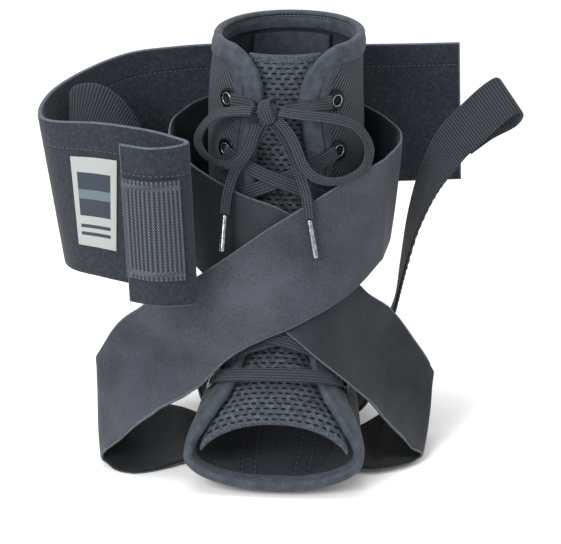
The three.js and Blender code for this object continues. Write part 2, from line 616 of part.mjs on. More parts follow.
const lowest = EYELET_ROWS[EYELET_ROWS.length - 1];
addPiece('lace_bar', laceBand(beside(lowest, 1), beside(lowest, -1), LACE_SEAT), FINISH.lace);
CROSSINGS.forEach(([upper, lower], i) => {
  const high = EYELET_ROWS[upper];
  const low = EYELET_ROWS[lower];
  const lowSpot = low === lowest ? (sign) => above(low, sign) : (sign) => beside(low, sign);
  const rising = laceBand(lowSpot(1), beside(high, -1), LACE_SEAT);
  const falling = laceBand(beside(high, 1), lowSpot(-1), CROSS_SEAT);
  addPiece(`lace_under_${i + 1}`, rising, FINISH.lace);
  addPiece(`lace_over_${i + 1}`, falling, FINISH.lace);
});

// Ribbon through stations of two edges. The inner grid is the face toward the boot.
function ribbonSolid(rows, wall, outward, floor = 0) {
  const count = rows.length;
  const cols = rows[0].length;
  const normals = rows.map((row, r) => row.map((_, c) => {
    const along = rows[Math.min(r + 1, count - 1)][c].clone().sub(rows[Math.max(r - 1, 0)][c]);
    const across = row[Math.min(c + 1, cols - 1)].clone().sub(row[Math.max(c - 1, 0)]);
    return along.cross(across).normalize();
  }));
  const sign = normals[0][0].dot(outward) > 0 ? 1 : -1;
  const inner = rows.map((row) => row.map((p) => p.clone()));
  const outer = rows.map((row, r) => {
    return row.map((p, c) => p.clone().addScaledVector(normals[r][c], sign * wall));
  });
  inner.forEach((row, r) => row.forEach((p, c) => {
    const lift = Math.max(0, floor - Math.min(p.z, outer[r][c].z));
    p.z += lift;
    outer[r][c].z += lift;
  }));
  return solidBetween(outer, inner);
}

// Grid of a strap's inner face
const STRAP_STEPS = 2;
const STRAP_CELLS = 4;

function strapGrid(stations, reach, seats) {
  const column = (edge, item) => stations.map((row) => row[edge][item]);
  const seat = stations.map((row) => seats[row.seat]);
  const last = stations.length - 1;
  return steps(last * STRAP_STEPS, 0, last).map((at) => {
    const i = Math.min(Math.floor(at), last - 1);
    const base = THREE.MathUtils.lerp(seat[i], seat[i + 1], at - i);
    const edge = (name) => ({
      level: spline(column(name, 0), at),
      turn: spline(column(name, 1), at),
      out: base + reach * Math.max(0, spline(column(name, 2), at)),
    });
    const high = edge('high');
    const low = edge('low');
    return steps(STRAP_CELLS, 0, 1).map((share) => offSurface(
      THREE.MathUtils.lerp(high.level, low.level, share),
      THREE.MathUtils.lerp(high.turn, low.turn, share),
      THREE.MathUtils.lerp(high.out, low.out, share),
    ));
  });
}

const overGrid = strapGrid(OVER_STATIONS, OVER_REACH, {
  boot: CLOTH_GAP,
  lacing: OVER_SEAT,
  floor: GAP + STRAP_WALL + GAP,
});
const underGrid = strapGrid(UNDER_STATIONS, UNDER_REACH, { boot: CLOTH_GAP, lacing: UNDER_SEAT });
addPiece('strap_over', ribbonSolid(overGrid, STRAP_WALL, new THREE.Vector3(1, 1, 0), 0), FINISH.strap);
const underSolid = ribbonSolid(underGrid, STRAP_WALL, new THREE.Vector3(-1, 1, 0), STRAP_WALL + GAP);
addPiece('strap_under', underSolid, FINISH.strap);

// Webbing pull that carries on from a strap's end
const PULL_STEPS = 3;

function pullGrid(strap, rows) {
  const end = strap[strap.length - 1];
  const before = strap[strap.length - 2];
  const onward = end[STRAP_CELLS / 2].clone().sub(before[STRAP_CELLS / 2]).normalize();
  const start = end[STRAP_CELLS / 2].clone().addScaledVector(onward, CLOTH_GAP + GAP);
  const across = end[STRAP_CELLS].clone().sub(end[0]).normalize();
  const size = new THREE.Vector3(LEG_WIDTH, LEG_DEPTH, BRACE_HEIGHT);
  const spots = rows.map(({ x, y, up }) => new THREE.Vector3(x, y, up).multiply(size));
  const middles = [start, ...spots];
  const widths = [across, ...rows.map((row) => new THREE.Vector3(...row.across).normalize())];
  const last = middles.length - 1;
  return steps(last * PULL_STEPS, 0, last).map((at) => {
    const pick = (list, axis) => spline(list.map((v) => v[axis]), at);
    const centre = new THREE.Vector3(pick(middles, 'x'), pick(middles, 'y'), pick(middles, 'z'));
    const side = new THREE.Vector3(pick(widths, 'x'), pick(widths, 'y'), pick(widths, 'z')).normalize();
    return [-0.5, 0.5].map((share) => centre.clone().addScaledVector(side, share * PULL_WIDTH));
  });
}
const RIGHT = new THREE.Vector3(1, 0, 0);
const LEFT = new THREE.Vector3(-1, 0, 0);
addPiece('pull_right', ribbonSolid(pullGrid(overGrid, PULL_RIGHT_ROWS), PULL_WALL, RIGHT), FINISH.webbing);
addPiece('pull_left', ribbonSolid(pullGrid(underGrid, PULL_LEFT_ROWS), PULL_WALL, LEFT), FINISH.webbing);

// The cuff's inner face, as a grid or as one spot. It stands just behind the back of the leg.
const CUFF_STEPS = 3;
const CUFF_BACK = Math.max(...steps(CUFF_STEPS, 0, 1).map((level) => surface(level, 180).y)) + GAP;

function cuffSpot(at, share) {
  const pick = (edge, item) => spline(CUFF_STATIONS.map((row) => row[edge][item]), at);
  const x = THREE.MathUtils.lerp(pick('high', 'x'), pick('low', 'x'), share);
  const y = THREE.MathUtils.lerp(pick('high', 'y'), pick('low', 'y'), share);
  const up = THREE.MathUtils.lerp(pick('high', 'up'), pick('low', 'up'), share);
  return new THREE.Vector3(x * LEG_WIDTH, CUFF_BACK + y * LEG_DEPTH, up * BRACE_HEIGHT);
}

function cuffNormal(at, share) {
  const along = cuffSpot(at + NUDGE.level, share).sub(cuffSpot(at - NUDGE.level, share));
  const across = cuffSpot(at, share + NUDGE.level).sub(cuffSpot(at, share - NUDGE.level));
  return across.cross(along).normalize();
}

function cuffPatch(alongSteps, acrossSteps, span, out) {
  return steps(alongSteps, span.from, span.to).map((at) => {
    return steps(acrossSteps, span.high, span.low).map((share) => {
      return cuffSpot(at, share).addScaledVector(cuffNormal(at, share), out);
    });
  });
}
const CUFF_END = CUFF_STATIONS.length - 1;
const WHOLE_CUFF = { from: 0, to: CUFF_END, high: 0, low: 1 };
const cuffGrid = (out) => cuffPatch(CUFF_END * CUFF_STEPS, 2, WHOLE_CUFF, out);
addPiece('cuff', solidBetween(cuffGrid(CUFF_WALL), cuffGrid(0)), FINISH.fuzz);

const PATCH_STEPS = 6;

function addOnCuff(name, span, seat, wall, material) {
  const grid = (out) => cuffPatch(PATCH_STEPS, 2, span, out);
  addPiece(name, solidBetween(grid(seat + wall), grid(seat)), material);
}
// The folded tab turns the cuff's inner face to the front, and carries the ribbed patch there
addOnCuff('cuff_ribbed_patch', PATCH_SPAN, -CLOTH_GAP - PATCH_WALL, PATCH_WALL, FINISH.webbing);
addOnCuff('cuff_label', LABEL_SPAN, CUFF_WALL + GAP, LABEL_WALL, FINISH.label);

// The tied bow: the knot, the flat bands from the top eyelets to it, two loops and two ends
const KNOT_SIDES = 12;
const knot = merged(new THREE.SphereGeometry(0.5, KNOT_SIDES, KNOT_SIDES / 2 + 2));
knot.scale(KNOT_SIZE.x, KNOT_SIZE.y, KNOT_SIZE.z);
knot.translate(KNOT_AT.x, KNOT_AT.y, KNOT_AT.z);
addPiece('lace_knot', knot, FINISH.lace);

const TOP_BAND = { start: 36, hump: 19, rise: 1, steps: 8 };

function knotBand(sign) {
  const { level } = EYELET_ROWS[0];
  const start = offSurface(level, sign * TOP_BAND.start, LACE_SEAT + GAP);
  const half = KNOT_SIZE.x / 2 + GAP;
  const end = KNOT_AT.clone().add(new THREE.Vector3(-sign * half, KNOT_SIZE.y / 4, 0));
  const hump = offSurface(level, sign * TOP_BAND.hump, LACE_SEAT + TOP_BAND.rise);
  const curve = new THREE.CatmullRomCurve3([start, hump, end]);
  const rows = curve.getPoints(TOP_BAND.steps).map((p) => {
    return [-0.5, 0.5].map((share) => p.clone().add(new THREE.Vector3(0, 0, share * LACE_WIDTH)));
  });
  return ribbonSolid(rows, LACE_WALL, new THREE.Vector3(0, -1, 0));
}
addPiece('lace_top_left', knotBand(1), FINISH.lace);
addPiece('lace_top_right', knotBand(-1), FINISH.lace);

const TUBE_SIDES = 8;
const TUBE_STEPS = 1.5;

function laceTube(route) {
  const section = new THREE.Shape();
  steps(TUBE_SIDES - 1, 0, 1 - 1 / TUBE_SIDES).forEach((share, i) => {
    const angle = share * 2 * Math.PI;
    const x = (Math.cos(angle) * LACE_TUBE) / 2;
    const y = (Math.sin(angle) * LACE_TUBE) / 2;
    if (i === 0) section.moveTo(x, y);
    else section.lineTo(x, y);
  });
  section.closePath();
  const path = new THREE.CatmullRomCurve3(route.map((p) => new THREE.Vector3(...p)));
  return merged(new THREE.ExtrudeGeometry(section, {
    steps: Math.ceil(TUBE_STEPS * (route.length - 1)),
    bevelEnabled: false,
    extrudePath: path,
  }));
}
addPiece('lace_loop_left', laceTube(LOOP_LEFT_ROUTE), FINISH.lace);
addPiece('lace_loop_right', laceTube(LOOP_RIGHT_ROUTE), FINISH.lace);
addPiece('lace_end_left', laceTube(END_LEFT_ROUTE), FINISH.lace);
addPiece('lace_end_right', laceTube(END_RIGHT_ROUTE), FINISH.lace);

// Metal tips on the lace ends
function addAglet(name, route, tip) {
  const end = new THREE.Vector3(...route[route.length - 1]);
  const far = new THREE.Vector3(...tip);
  const along = far.clone().sub(end).normalize();
  end.addScaledVector(along, 2 * GAP);
  const length = far.distanceTo(end);
  const radius = AGLET_DIAMETER / 2;
  const tube = merged(new THREE.CylinderGeometry(radius, radius, length, TUBE_SIDES));
  const aglet = addPiece(name, tube, FINISH.metal);
  aglet.position.copy(end).addScaledVector(along, length / 2);
  aglet.quaternion.setFromUnitVectors(new THREE.Vector3(0, 1, 0), along);
}
addAglet('aglet_left', END_LEFT_ROUTE, AGLET_LEFT_TIP);
addAglet('aglet_right', END_RIGHT_ROUTE, AGLET_RIGHT_TIP);

export default brace;
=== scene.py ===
# Dressed model of a lace-up ankle brace, metres, +Z up, the foot points to -Y.
import math

import bmesh
import bpy
import numpy as np
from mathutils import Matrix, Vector


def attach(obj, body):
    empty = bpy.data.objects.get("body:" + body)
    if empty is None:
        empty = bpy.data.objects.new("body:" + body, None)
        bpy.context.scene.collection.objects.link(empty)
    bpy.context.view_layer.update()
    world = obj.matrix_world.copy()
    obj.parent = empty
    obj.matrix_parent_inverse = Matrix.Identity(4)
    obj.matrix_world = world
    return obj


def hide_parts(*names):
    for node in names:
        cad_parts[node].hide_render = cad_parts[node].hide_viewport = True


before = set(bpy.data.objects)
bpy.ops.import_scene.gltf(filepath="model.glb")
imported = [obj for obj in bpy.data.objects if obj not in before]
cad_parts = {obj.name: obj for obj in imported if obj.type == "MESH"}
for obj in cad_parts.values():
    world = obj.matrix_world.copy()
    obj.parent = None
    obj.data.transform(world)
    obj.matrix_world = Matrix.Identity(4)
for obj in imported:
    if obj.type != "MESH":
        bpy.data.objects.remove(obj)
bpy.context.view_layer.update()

MM = 0.001

# Sizes of the brace in millimetres, the same ones as in its source
BRACE_HEIGHT = 236
LEG_WIDTH = 88
LEG_DEPTH = 98
FOOT_WIDTH = 96
FOOT_LENGTH = 157
SHELL_WALL = 3
TONGUE_WALL = 3.5
LINING_WALL = 1
LINING_HEIGHT = 62
BINDING_WIDTH = 9
BINDING_WALL = 1
HEEL_HOLE_WIDTH = 38
HEEL_HOLE_HEIGHT = 50
STRAP_WALL = 2
OVER_REACH = 65
UNDER_REACH = 45
PULL_WIDTH = 24
PULL_WALL = 2
CUFF_WALL = 3
PATCH_WALL = 1
LABEL_WALL = 0.6
EYELET_RADIUS = 6
EYELET_BORE = 2.8
EYELET_THICKNESS = 1.4
LACE_WIDTH = 8
LACE_WALL = 1.2
AGLET_DIAMETER = 3
KNOT_SIZE = np.array((13, 9, 14))
KNOT_AT = np.array((-6.8, -51.6, 203.2))
GAP = 0.3
CLOTH_GAP = 0.5
BINDING_GAP = 1.1
FLOOR_LAYERS = 2 * (STRAP_WALL + GAP)
EYELET_SEAT = CLOTH_GAP
EYELET_LIFT = EYELET_RADIUS ** 2 / LEG_WIDTH
LACE_SEAT = max(EYELET_SEAT + EYELET_THICKNESS + EYELET_LIFT, BINDING_GAP + BINDING_WALL) + GAP
CROSS_SEAT = LACE_SEAT + LACE_WALL + 2 * GAP
UNDER_SEAT = CROSS_SEAT + LACE_WALL + CLOTH_GAP
OVER_SEAT = UNDER_SEAT + STRAP_WALL + 2 * CLOTH_GAP
TONGUE_SEAT = SHELL_WALL + BINDING_GAP + BINDING_WALL + CLOTH_GAP + GAP
AGLET_LEFT_TIP = (-30.9, -64.8, 127.0)
AGLET_RIGHT_TIP = (20.7, -62.6, 123.6)

# Sections of the boot from the rim to the toe: foot, front, front_up, back, back_up, half, lean, power
SECTIONS = [
    (0.0, 0.459, 0.9915, 0.51, 1.0, 0.47, 0.02, 2.1),
    (0.0, 0.454, 0.869, 0.5, 0.89, 0.494, 0.0, 2.1),
    (0.0, 0.439, 0.746, 0.469, 0.746, 0.506, 0.0, 2.1),
    (0.1, 0.4235, 0.623, 0.4235, 0.585, 0.4955, 0.0, 2.1),
    (0.3, 0.432, 0.5085, 0.38, 0.415, 0.465, 0.0, 2.1),
    (0.5, 0.4706, 0.415, 0.392, 0.237, 0.446, 0.0, 2.15),
    (0.7, 0.5025, 0.3475, 0.373, 0.093, 0.438, 0.0, 2.2),
    (0.9, 0.5228, 0.292, 0.238, 0.0, 0.441, 0.0, 2.3),
    (1.0, 0.5605, 0.246, 0.0, 0.0, 0.4635, 0.0, 2.4),
    (1.0, 0.605, 0.2076, -0.318, 0.0, 0.49, 0.0, 2.5),
    (1.0, 0.637, 0.1695, -0.6815, 0.02, 0.505, 0.0, 2.1),
]
# Level, and half the opening's width in turns
OPENING = [
    (0, 45), (0.07, 36), (0.2, 28), (0.42, 20), (0.65, 16), (0.9, 14.5), (1.5, 17), (2, 19.5),
    (4, 20), (6, 23), (7.5, 30), (8.4, 36), (9.1, 45), (9.6, 57), (9.85, 72), (10, 93),
]
TONGUE_SPREAD = [
    (0, 33), (0.6, 38), (4, 40), (7, 44), (9, 60), (10, 72),
]
# What the strap lies on there, then each edge's level, turn and share of the reach outward
OVER_STATIONS = [
    ('boot', (1.62, -126, 0.0), (3.22, -127, 0.0)),
    ('boot', (1.67, -111, 0.06), (3.28, -110, 0.1)),
    ('boot', (1.77, -98, 0.18), (3.38, -97, 0.19)),
    ('boot', (1.95, -84, 0.3), (3.61, -85, 0.24)),
    ('lacing', (2.17, -64, 0.13), (4.06, -67, 0.13)),
    ('lacing', (2.38, -41, 0.07), (4.58, -50, 0.08)),
    ('lacing', (2.97, -11, 0.03), (5.78, -13, 0.0)),
    ('lacing', (3.83, 21, 0.09), (7.03, 24, 0.0)),
    ('lacing', (4.64, 42, 0.32), (8.61, 52, 0.03)),
    ('boot', (5.28, 58, 0.73), (9.33, 78, 0.34)),
    ('boot', (6.02, 67, 0.9), (9.52, 92, 0.57)),
    ('boot', (7.31, 82, 1.0), (9.33, 100, 0.79)),
    ('boot', (7.64, 90, 0.88), (9.44, 102, 0.73)),
    ('boot', (7.91, 99, 0.66), (9.52, 105, 0.55)),
    ('boot', (7.72, 107, 0.4), (9.38, 110, 0.34)),
    ('floor', (7.75, 116, 0.19), (9.2, 120, 0.12)),
    ('floor', (7.95, 150, 0.0), (9.1, 150, 0.0)),
    ('floor', (7.5, 180, 0.0), (8.8, 180, 0.0)),
    ('floor', (6.95, 212, 0.0), (8.15, 212, 0.0)),
    ('floor', (6.3, 238, 0.12), (7.5, 245, 0.08)),
    ('floor', (5.84, 243, 0.22), (6.7, 258, 0.16)),
    ('floor', (5.31, 243, 0.33), (5.73, 262, 0.26)),
]
UNDER_STATIONS = [
    ('boot', (1.47, 128, 0.0), (3.08, 129, 0.0)),
    ('boot', (1.53, 116, 0.1), (3.17, 112, 0.14)),
    ('boot', (1.64, 102, 0.29), (3.31, 99, 0.26)),
    ('boot', (1.89, 89, 0.45), (3.59, 87, 0.36)),
    ('lacing', (2.3, 53, 0.2), (4.2, 59, 0.2)),
    ('lacing', (2.72, 24, 0.03), (4.98, 32, 0.05)),
    ('lacing', (3.05, -3, 0.0), (5.97, -2, 0.0)),
    ('lacing', (3.91, -35, 0.03), (7.09, -26, 0.0)),
    ('lacing', (4.67, -56, 0.14), (7.98, -51, 0.0)),
    ('boot', (5.14, -70, 0.54), (8.73, -85, 0.25)),
    ('boot', (5.97, -77, 0.81), (9.0, -102, 0.6)),
    ('boot', (6.81, -84, 0.98), (8.91, -106, 0.8)),
    ('boot', (7.58, -94, 0.85), (9.11, -108, 0.7)),
    ('boot', (7.77, -105, 0.56), (9.28, -112, 0.44)),
    ('boot', (7.85, -107, 0.33), (9.35, -119, 0.22)),
    ('boot', (8.35, -150, 0.01), (9.35, -150, 0.0)),
    ('boot', (7.5, -180, 0.0), (8.8, -180, 0.0)),
    ('boot', (7.05, -212, 0.0), (8.45, -212, 0.0)),
    ('boot', (6.4, -238, 0.2), (7.75, -245, 0.14)),
    ('boot', (5.89, -245, 0.32), (6.75, -260, 0.26)),
    ('boot', (5.41, -248, 0.44), (5.85, -266, 0.38)),
]
# Middle of the pull as shares of the leg's sizes and the height, then the way across it
PULL_RIGHT_ROWS = [
    (0.727, 0.153, 0.305, (0.0, -1.0, 0.1)),
    (0.77, 0.14, 0.403, (0.1, -1.0, 0.05)),
    (0.83, 0.11, 0.521, (0.25, -0.95, -0.1)),
    (0.926, 0.07, 0.631, (0.42, -0.8, -0.3)),
    (1.06, 0.02, 0.725, (0.58, -0.5, -0.6)),
    (1.216, -0.02, 0.792, (0.62, -0.28, -0.73)),
    (1.33, -0.03, 0.835, (0.6, -0.2, -0.77)),
    (1.42, -0.01, 0.855, (0.58, -0.15, -0.8)),
    (1.45, 0.035, 0.84, (0.58, -0.15, -0.8)),
    (1.4, 0.075, 0.81, (0.58, -0.18, -0.78)),
    (1.25, 0.085, 0.775, (0.6, -0.25, -0.75)),
    (1.12, 0.085, 0.735, (0.6, -0.4, -0.7)),
]
PULL_LEFT_ROWS = [
    (-0.72, 0.05, 0.31, (0.0, -1.0, 0.1)),
    (-0.79, 0.04, 0.424, (-0.05, -1.0, 0.0)),
    (-0.865, 0.02, 0.58, (-0.15, -0.95, -0.15)),
    (-0.98, 0.0, 0.698, (-0.35, -0.75, -0.45)),
    (-1.11, -0.02, 0.776, (-0.45, -0.45, -0.75)),
    (-1.25, -0.03, 0.815, (-0.3, -0.3, -0.9)),
    (-1.38, -0.02, 0.808, (-0.05, -0.25, -0.95)),
    (-1.42, 0.03, 0.778, (0.0, -0.2, -0.97)),
    (-1.36, 0.08, 0.765, (-0.05, -0.2, -0.95)),
    (-1.23, 0.095, 0.75, (-0.25, -0.3, -0.9)),
]
# High edge then low edge: x, y and height share of each
CUFF_STATIONS = [
    (1.12, 0.05, 0.924, 1.16, 0.05, 0.568),
    (0.68, 0.015, 0.921, 0.7, 0.015, 0.563),
    (0.3, 0.0, 0.919, 0.31, 0.0, 0.558),
    (-0.1, 0.0, 0.917, -0.1, 0.0, 0.553),
    (-0.5, 0.01, 0.915, -0.48, 0.01, 0.547),
    (-0.82, 0.02, 0.904, -0.77, 0.015, 0.535),
    (-1.1, -0.01, 0.89, -1.02, -0.035, 0.517),
    (-1.35, -0.17, 0.864, -1.23, -0.19, 0.487),
    (-1.52, -0.43, 0.839, -1.37, -0.43, 0.462),
    (-1.555, -0.67, 0.816, -1.41, -0.67, 0.442),
    (-1.455, -0.855, 0.813, -1.34, -0.865, 0.442),
    (-1.11, -1.04, 0.83, -1.11, -1.04, 0.449),
    (-0.8, -1.16, 0.83, -0.86, -1.15, 0.447),
    (-0.605, -1.25, 0.824, -0.59, -1.25, 0.44),
    (-0.522, -1.325, 0.822, -0.485, -1.33, 0.436),
    (-0.58, -1.425, 0.822, -0.535, -1.42, 0.44),
    (-0.745, -1.485, 0.822, -0.715, -1.48, 0.445),
    (-0.942, -1.415, 0.822, -0.907, -1.4, 0.443),
]
EYELET_ROWS = [
    (1.0, 41), (1.98, 42), (2.95, 42), (4.1, 42), (5.6, 43), (7.62, 51),
]
LOOP_LEFT_ROUTE = [
    (-14.9, -52.0, 203.2), (-22.8, -49.6, 202.6), (-33.3, -43.0, 199.2),
    (-40.8, -36.2, 192.8), (-45.9, -30.7, 184.4), (-46.7, -30.2, 178.0),
    (-42.3, -36.0, 173.3), (-33.6, -44.6, 171.2), (-26.6, -49.4, 172.4),
    (-20.3, -52.0, 177.2), (-16.4, -52.8, 184.3), (-14.2, -53.4, 191.4),
    (-12.4, -53.4, 196.0),
]
LOOP_RIGHT_ROUTE = [
    (-0.1, -53.2, 203.9), (10.6, -54.5, 202.6), (23.3, -50.4, 200.4),
    (32.9, -45.0, 197.3), (40.8, -37.8, 192.2), (46.0, -32.8, 184.3),
    (48.3, -32.4, 176.3), (46.0, -41.0, 169.6), (38.6, -49.2, 166.2),
    (28.5, -54.8, 165.4), (19.2, -57.0, 168.4), (12.8, -56.2, 174.6),
    (8.6, -55.2, 185.0), (4.5, -55.0, 193.0), (-1.3, -53.8, 199.0),
]
END_LEFT_ROUTE = [
    (-8.1, -49.4, 196.6), (-13.4, -47.4, 185.9), (-19.6, -47.4, 176.3),
    (-24.8, -47.4, 168.0), (-27.6, -50.6, 160.8), (-29.2, -54.2, 153.0),
    (-29.9, -57.6, 146.4),
]
END_RIGHT_ROUTE = [
    (-3.8, -50.4, 196.7), (1.8, -49.0, 188.6), (5.8, -48.4, 180.2),
    (10.0, -50.4, 170.4), (14.0, -55.2, 160.8), (15.7, -57.6, 153.3),
    (16.6, -58.8, 145.0),
]

TOE = len(SECTIONS) - 1
TONGUE_TOP = 0.1
TONGUE_TOE = TOE - 0.05
LACE_INSET = 3
LAST_CROSSING_RISE = 0.55
CROSSINGS = [(1, 2), (2, 3), (3, 4), (4, 5)]
PATCH_SPAN = (15.05, 16.95, 0.2, 0.83)
LABEL_SPAN = (10.44, 11.4, 0.22, 0.8)
HEEL_HOLE_LEVEL = 5.75
MM_PER_TURN = 0.8
MM_PER_LEVEL = 27.0
LINING_HALF = 36


def spline(values, at):
    """Smooth value between the rows of a table, through every row."""
    v = np.asarray(values, float)
    at = np.asarray(at, float)
    last = len(v) - 1
    i = np.clip(np.floor(at), 0, last - 1).astype(int)
    f = at - i
    p1 = v[i]
    p2 = v[i + 1]
    p0 = np.where(i > 0, v[np.maximum(i - 1, 0)], 2 * p1 - p2)
    p3 = np.where(i + 2 <= last, v[np.minimum(i + 2, last)], 2 * p2 - p1)
    cubic = (3 * p1 - p0 - 3 * p2 + p3) * f ** 3
    square = (2 * p0 - 5 * p1 + 4 * p2 - p3) * f ** 2
    return 0.5 * (2 * p1 + (p2 - p0) * f + square + cubic)


def look_up(rows, level):
    table = np.asarray(rows, float)
    return np.interp(level, table[:, 0], table[:, 1])


_rows = np.array(SECTIONS)
_deep = LEG_DEPTH + (FOOT_LENGTH - LEG_DEPTH) * _rows[:, 0]
_wide = LEG_WIDTH + (FOOT_WIDTH - LEG_WIDTH) * _rows[:, 0]
FRONT_Y = -_rows[:, 1] * _deep
FRONT_Z = _rows[:, 2] * BRACE_HEIGHT
BACK_Y = _rows[:, 3] * _deep
BACK_Z = _rows[:, 4] * BRACE_HEIGHT
HALF = _rows[:, 5] * _wide
LEAN = _rows[:, 6] * _wide
POWER = _rows[:, 7]


def surface(level, turn):
    """Outside surface of the boot. Turn 0 is the front and positive turns go to -X."""
    level, turn = np.broadcast_arrays(np.asarray(level, float), np.asarray(turn, float))
    front_y = spline(FRONT_Y, level)
    front_z = spline(FRONT_Z, level)
    back_y = spline(BACK_Y, level)
    back_z = spline(BACK_Z, level)
    power = 2 / spline(POWER, level)
    angle = np.radians(turn)
    c = np.sign(np.cos(angle)) * np.abs(np.cos(angle)) ** power
    s = np.sign(np.sin(angle)) * np.abs(np.sin(angle)) ** power
    x = spline(LEAN, level) - spline(HALF, level) * s
    y = (front_y + back_y) / 2 + (front_y - back_y) / 2 * c
    z = (front_z + back_z) / 2 + (front_z - back_z) / 2 * c
    return np.stack([x, y, np.maximum(z, FLOOR_LAYERS)], -1)


def unit(v):
    return v / np.maximum(np.linalg.norm(v, axis=-1, keepdims=True), 1e-12)


LEVEL_NUDGE = 0.02
TURN_NUDGE = 0.5


def tangents(level, turn):
    down = surface(level + LEVEL_NUDGE, turn) - surface(level - LEVEL_NUDGE, turn)
    around = surface(level, turn + TURN_NUDGE) - surface(level, turn - TURN_NUDGE)
    return down / (2 * LEVEL_NUDGE), around / (2 * TURN_NUDGE)


def surface_normal(level, turn):
    down, around = tangents(np.asarray(level, float), np.asarray(turn, float))
    return unit(np.cross(around, down))


def off_surface(level, turn, out):
    out = np.asarray(out, float)
    return surface(level, turn) + surface_normal(level, turn) * out[..., None]


# Mesh building


def make_object(name, points, faces, uvs, materials, face_slots=None):
    mesh = bpy.data.meshes.new(name)
    mesh.from_pydata((np.asarray(points) * MM).tolist(), [], faces)
    for material in materials:
        mesh.materials.append(material)
    if face_slots is not None:
        mesh.polygons.foreach_set("material_index", np.asarray(face_slots, np.int32))
    mesh.polygons.foreach_set("use_smooth", np.ones(len(mesh.polygons), bool))
    layer = mesh.uv_layers.new(name="UVMap")
    loops = np.empty(len(mesh.loops), np.int32)
    mesh.loops.foreach_get("vertex_index", loops)
    layer.data.foreach_set("uv", np.asarray(uvs, np.float32)[loops].ravel())
    mesh.validate()
    mesh.update()
    obj = bpy.data.objects.new(name, mesh)
    bpy.context.collection.objects.link(obj)
    return obj


def grid_quads(rows, cols, start=0, flip=False):
    r = np.arange(rows - 1)[:, None]
    c = np.arange(cols - 1)[None, :]
    a = start + r * cols + c
    quads = np.stack([a, a + 1, a + cols + 1, a + cols], -1).reshape(-1, 4)
    return quads[:, ::-1] if flip else quads


def arc_uv(mid):
    """Real distances in millimetres along and across a grid."""
    along = np.linalg.norm(np.diff(mid[:, mid.shape[1] // 2], axis=0), axis=-1)
    u = np.concatenate([[0], np.cumsum(along)])
    step = np.linalg.norm(np.diff(mid, axis=1), axis=-1)
    v = np.concatenate([np.zeros((len(mid), 1)), np.cumsum(step, axis=1)], axis=1)
    v = v - v[:, -1:] / 2
    return np.stack([np.broadcast_to(u[:, None], v.shape), v], -1)


def grid_normals(mid):
    along = np.gradient(mid, axis=0)
    across = np.gradient(mid, axis=1)
    return unit(np.cross(along, across))


def rounded(distance, wall):
    """Half thickness of cloth near its cut edge."""
    reach = wall / 2
    t = np.clip(distance / reach, 0, 1)
    return reach * np.sqrt(np.maximum(1 - (1 - t) ** 2, 0.02))


def edge_distance(mid):
    uv = arc_uv(mid)
    u = uv[..., 0]
    v = uv[..., 1]
    ends = np.minimum(u, u[-1:] - u)
    sides = np.minimum(v - v[:, :1], v[:, -1:] - v)
    return np.minimum(ends, sides)


def slab(name, mid, normals, wall, materials, rim=0.0, relief=None, uv=None, inside=0, keep=None):
    """Cloth of one thickness round its middle surface, with rounded edges.

    Faces nearer the edge than rim take the second material, and those of the inner face take the one
    numbered inside.
    """
    rows, cols = mid.shape[:2]
    distance = edge_distance(mid)
    half = rounded(distance, wall)[..., None]
    outer = mid + normals * half
    inner = mid - normals * half
    if relief is not None:
        outer = outer + normals * relief[..., None]
    points = np.concatenate([outer.reshape(-1, 3), inner.reshape(-1, 3)])
    flat = (arc_uv(mid) if uv is None else uv).reshape(-1, 2)
    uvs = np.concatenate([flat, flat])
    count = rows * cols
    faces = [grid_quads(rows, cols), grid_quads(rows, cols, count, True)]
    ring = np.concatenate([
        np.arange(cols - 1),
        np.arange(rows - 1) * cols + cols - 1,
        (rows - 1) * cols + np.arange(cols - 1, 0, -1),
        np.arange(rows - 1, 0, -1) * cols,
    ])
    following = np.roll(ring, -1)
    faces.append(np.stack([following, ring, ring + count, following + count], -1))
    if keep is not None:
        kept = keep.ravel()
        faces[0] = faces[0][kept]
        faces[1] = faces[1][kept]
        faces.append(hole_walls(keep, cols, count))
    quads = np.concatenate(faces)
    near = np.tile(distance.ravel(), 2)
    slots = (near[quads].min(axis=1) < rim).astype(np.int32)
    if inside:
        slots[quads.min(axis=1) >= count] = inside
    obj = make_object(name, points, quads.tolist(), uvs, materials, slots)
    return turned_out(obj)


def hole_walls(keep, cols, count):
    """Quads between the two faces round cells that are left out."""
    walls = []
    for r, c in np.argwhere(~keep):
        corner = r * cols + c
        if keep[r - 1, c]:
            walls.append((corner, corner + 1))
        if keep[r + 1, c]:
            walls.append((corner + cols + 1, corner + cols))
        if keep[r, c - 1]:
            walls.append((corner + cols, corner))
        if keep[r, c + 1]:
            walls.append((corner + 1, corner + cols + 1))
    pairs = np.array(walls)
    return np.stack([pairs[:, 1], pairs[:, 0], pairs[:, 0] + count, pairs[:, 1] + count], -1)


def turned_out(obj):
    """Faces point away from the solid."""
    mesh = obj.data
    corners = np.empty(len(mesh.vertices) * 3)
    mesh.vertices.foreach_get("co", corners)
    corners = corners.reshape(-1, 3)
    mesh.calc_loop_triangles()
    tris = np.empty(len(mesh.loop_triangles) * 3, np.int32)
    mesh.loop_triangles.foreach_get("vertices", tris)
    a, b, c = corners[tris.reshape(-1, 3)].transpose(1, 0, 2)
    if np.einsum("ij,ij->", a, np.cross(b, c)) < 0:
        mesh.flip_normals()
    return obj


def dress(obj, slot, *nodes):
    if nodes:
        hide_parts(*nodes)
    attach(obj, "root")
    return obj


def spread(count, edge_rows=(0.0, 0.15, 0.45, 1.0), wall=2.0, width=50.0):
    """Shares from 0 to 1 with extra ones near both ends, for rounded edges."""
    near = np.array(edge_rows) * wall / 2 / width
    inside = np.linspace(near[-1], 1 - near[-1], count)
    return np.concatenate([near[:-1], inside, 1 - near[:-1][::-1]])


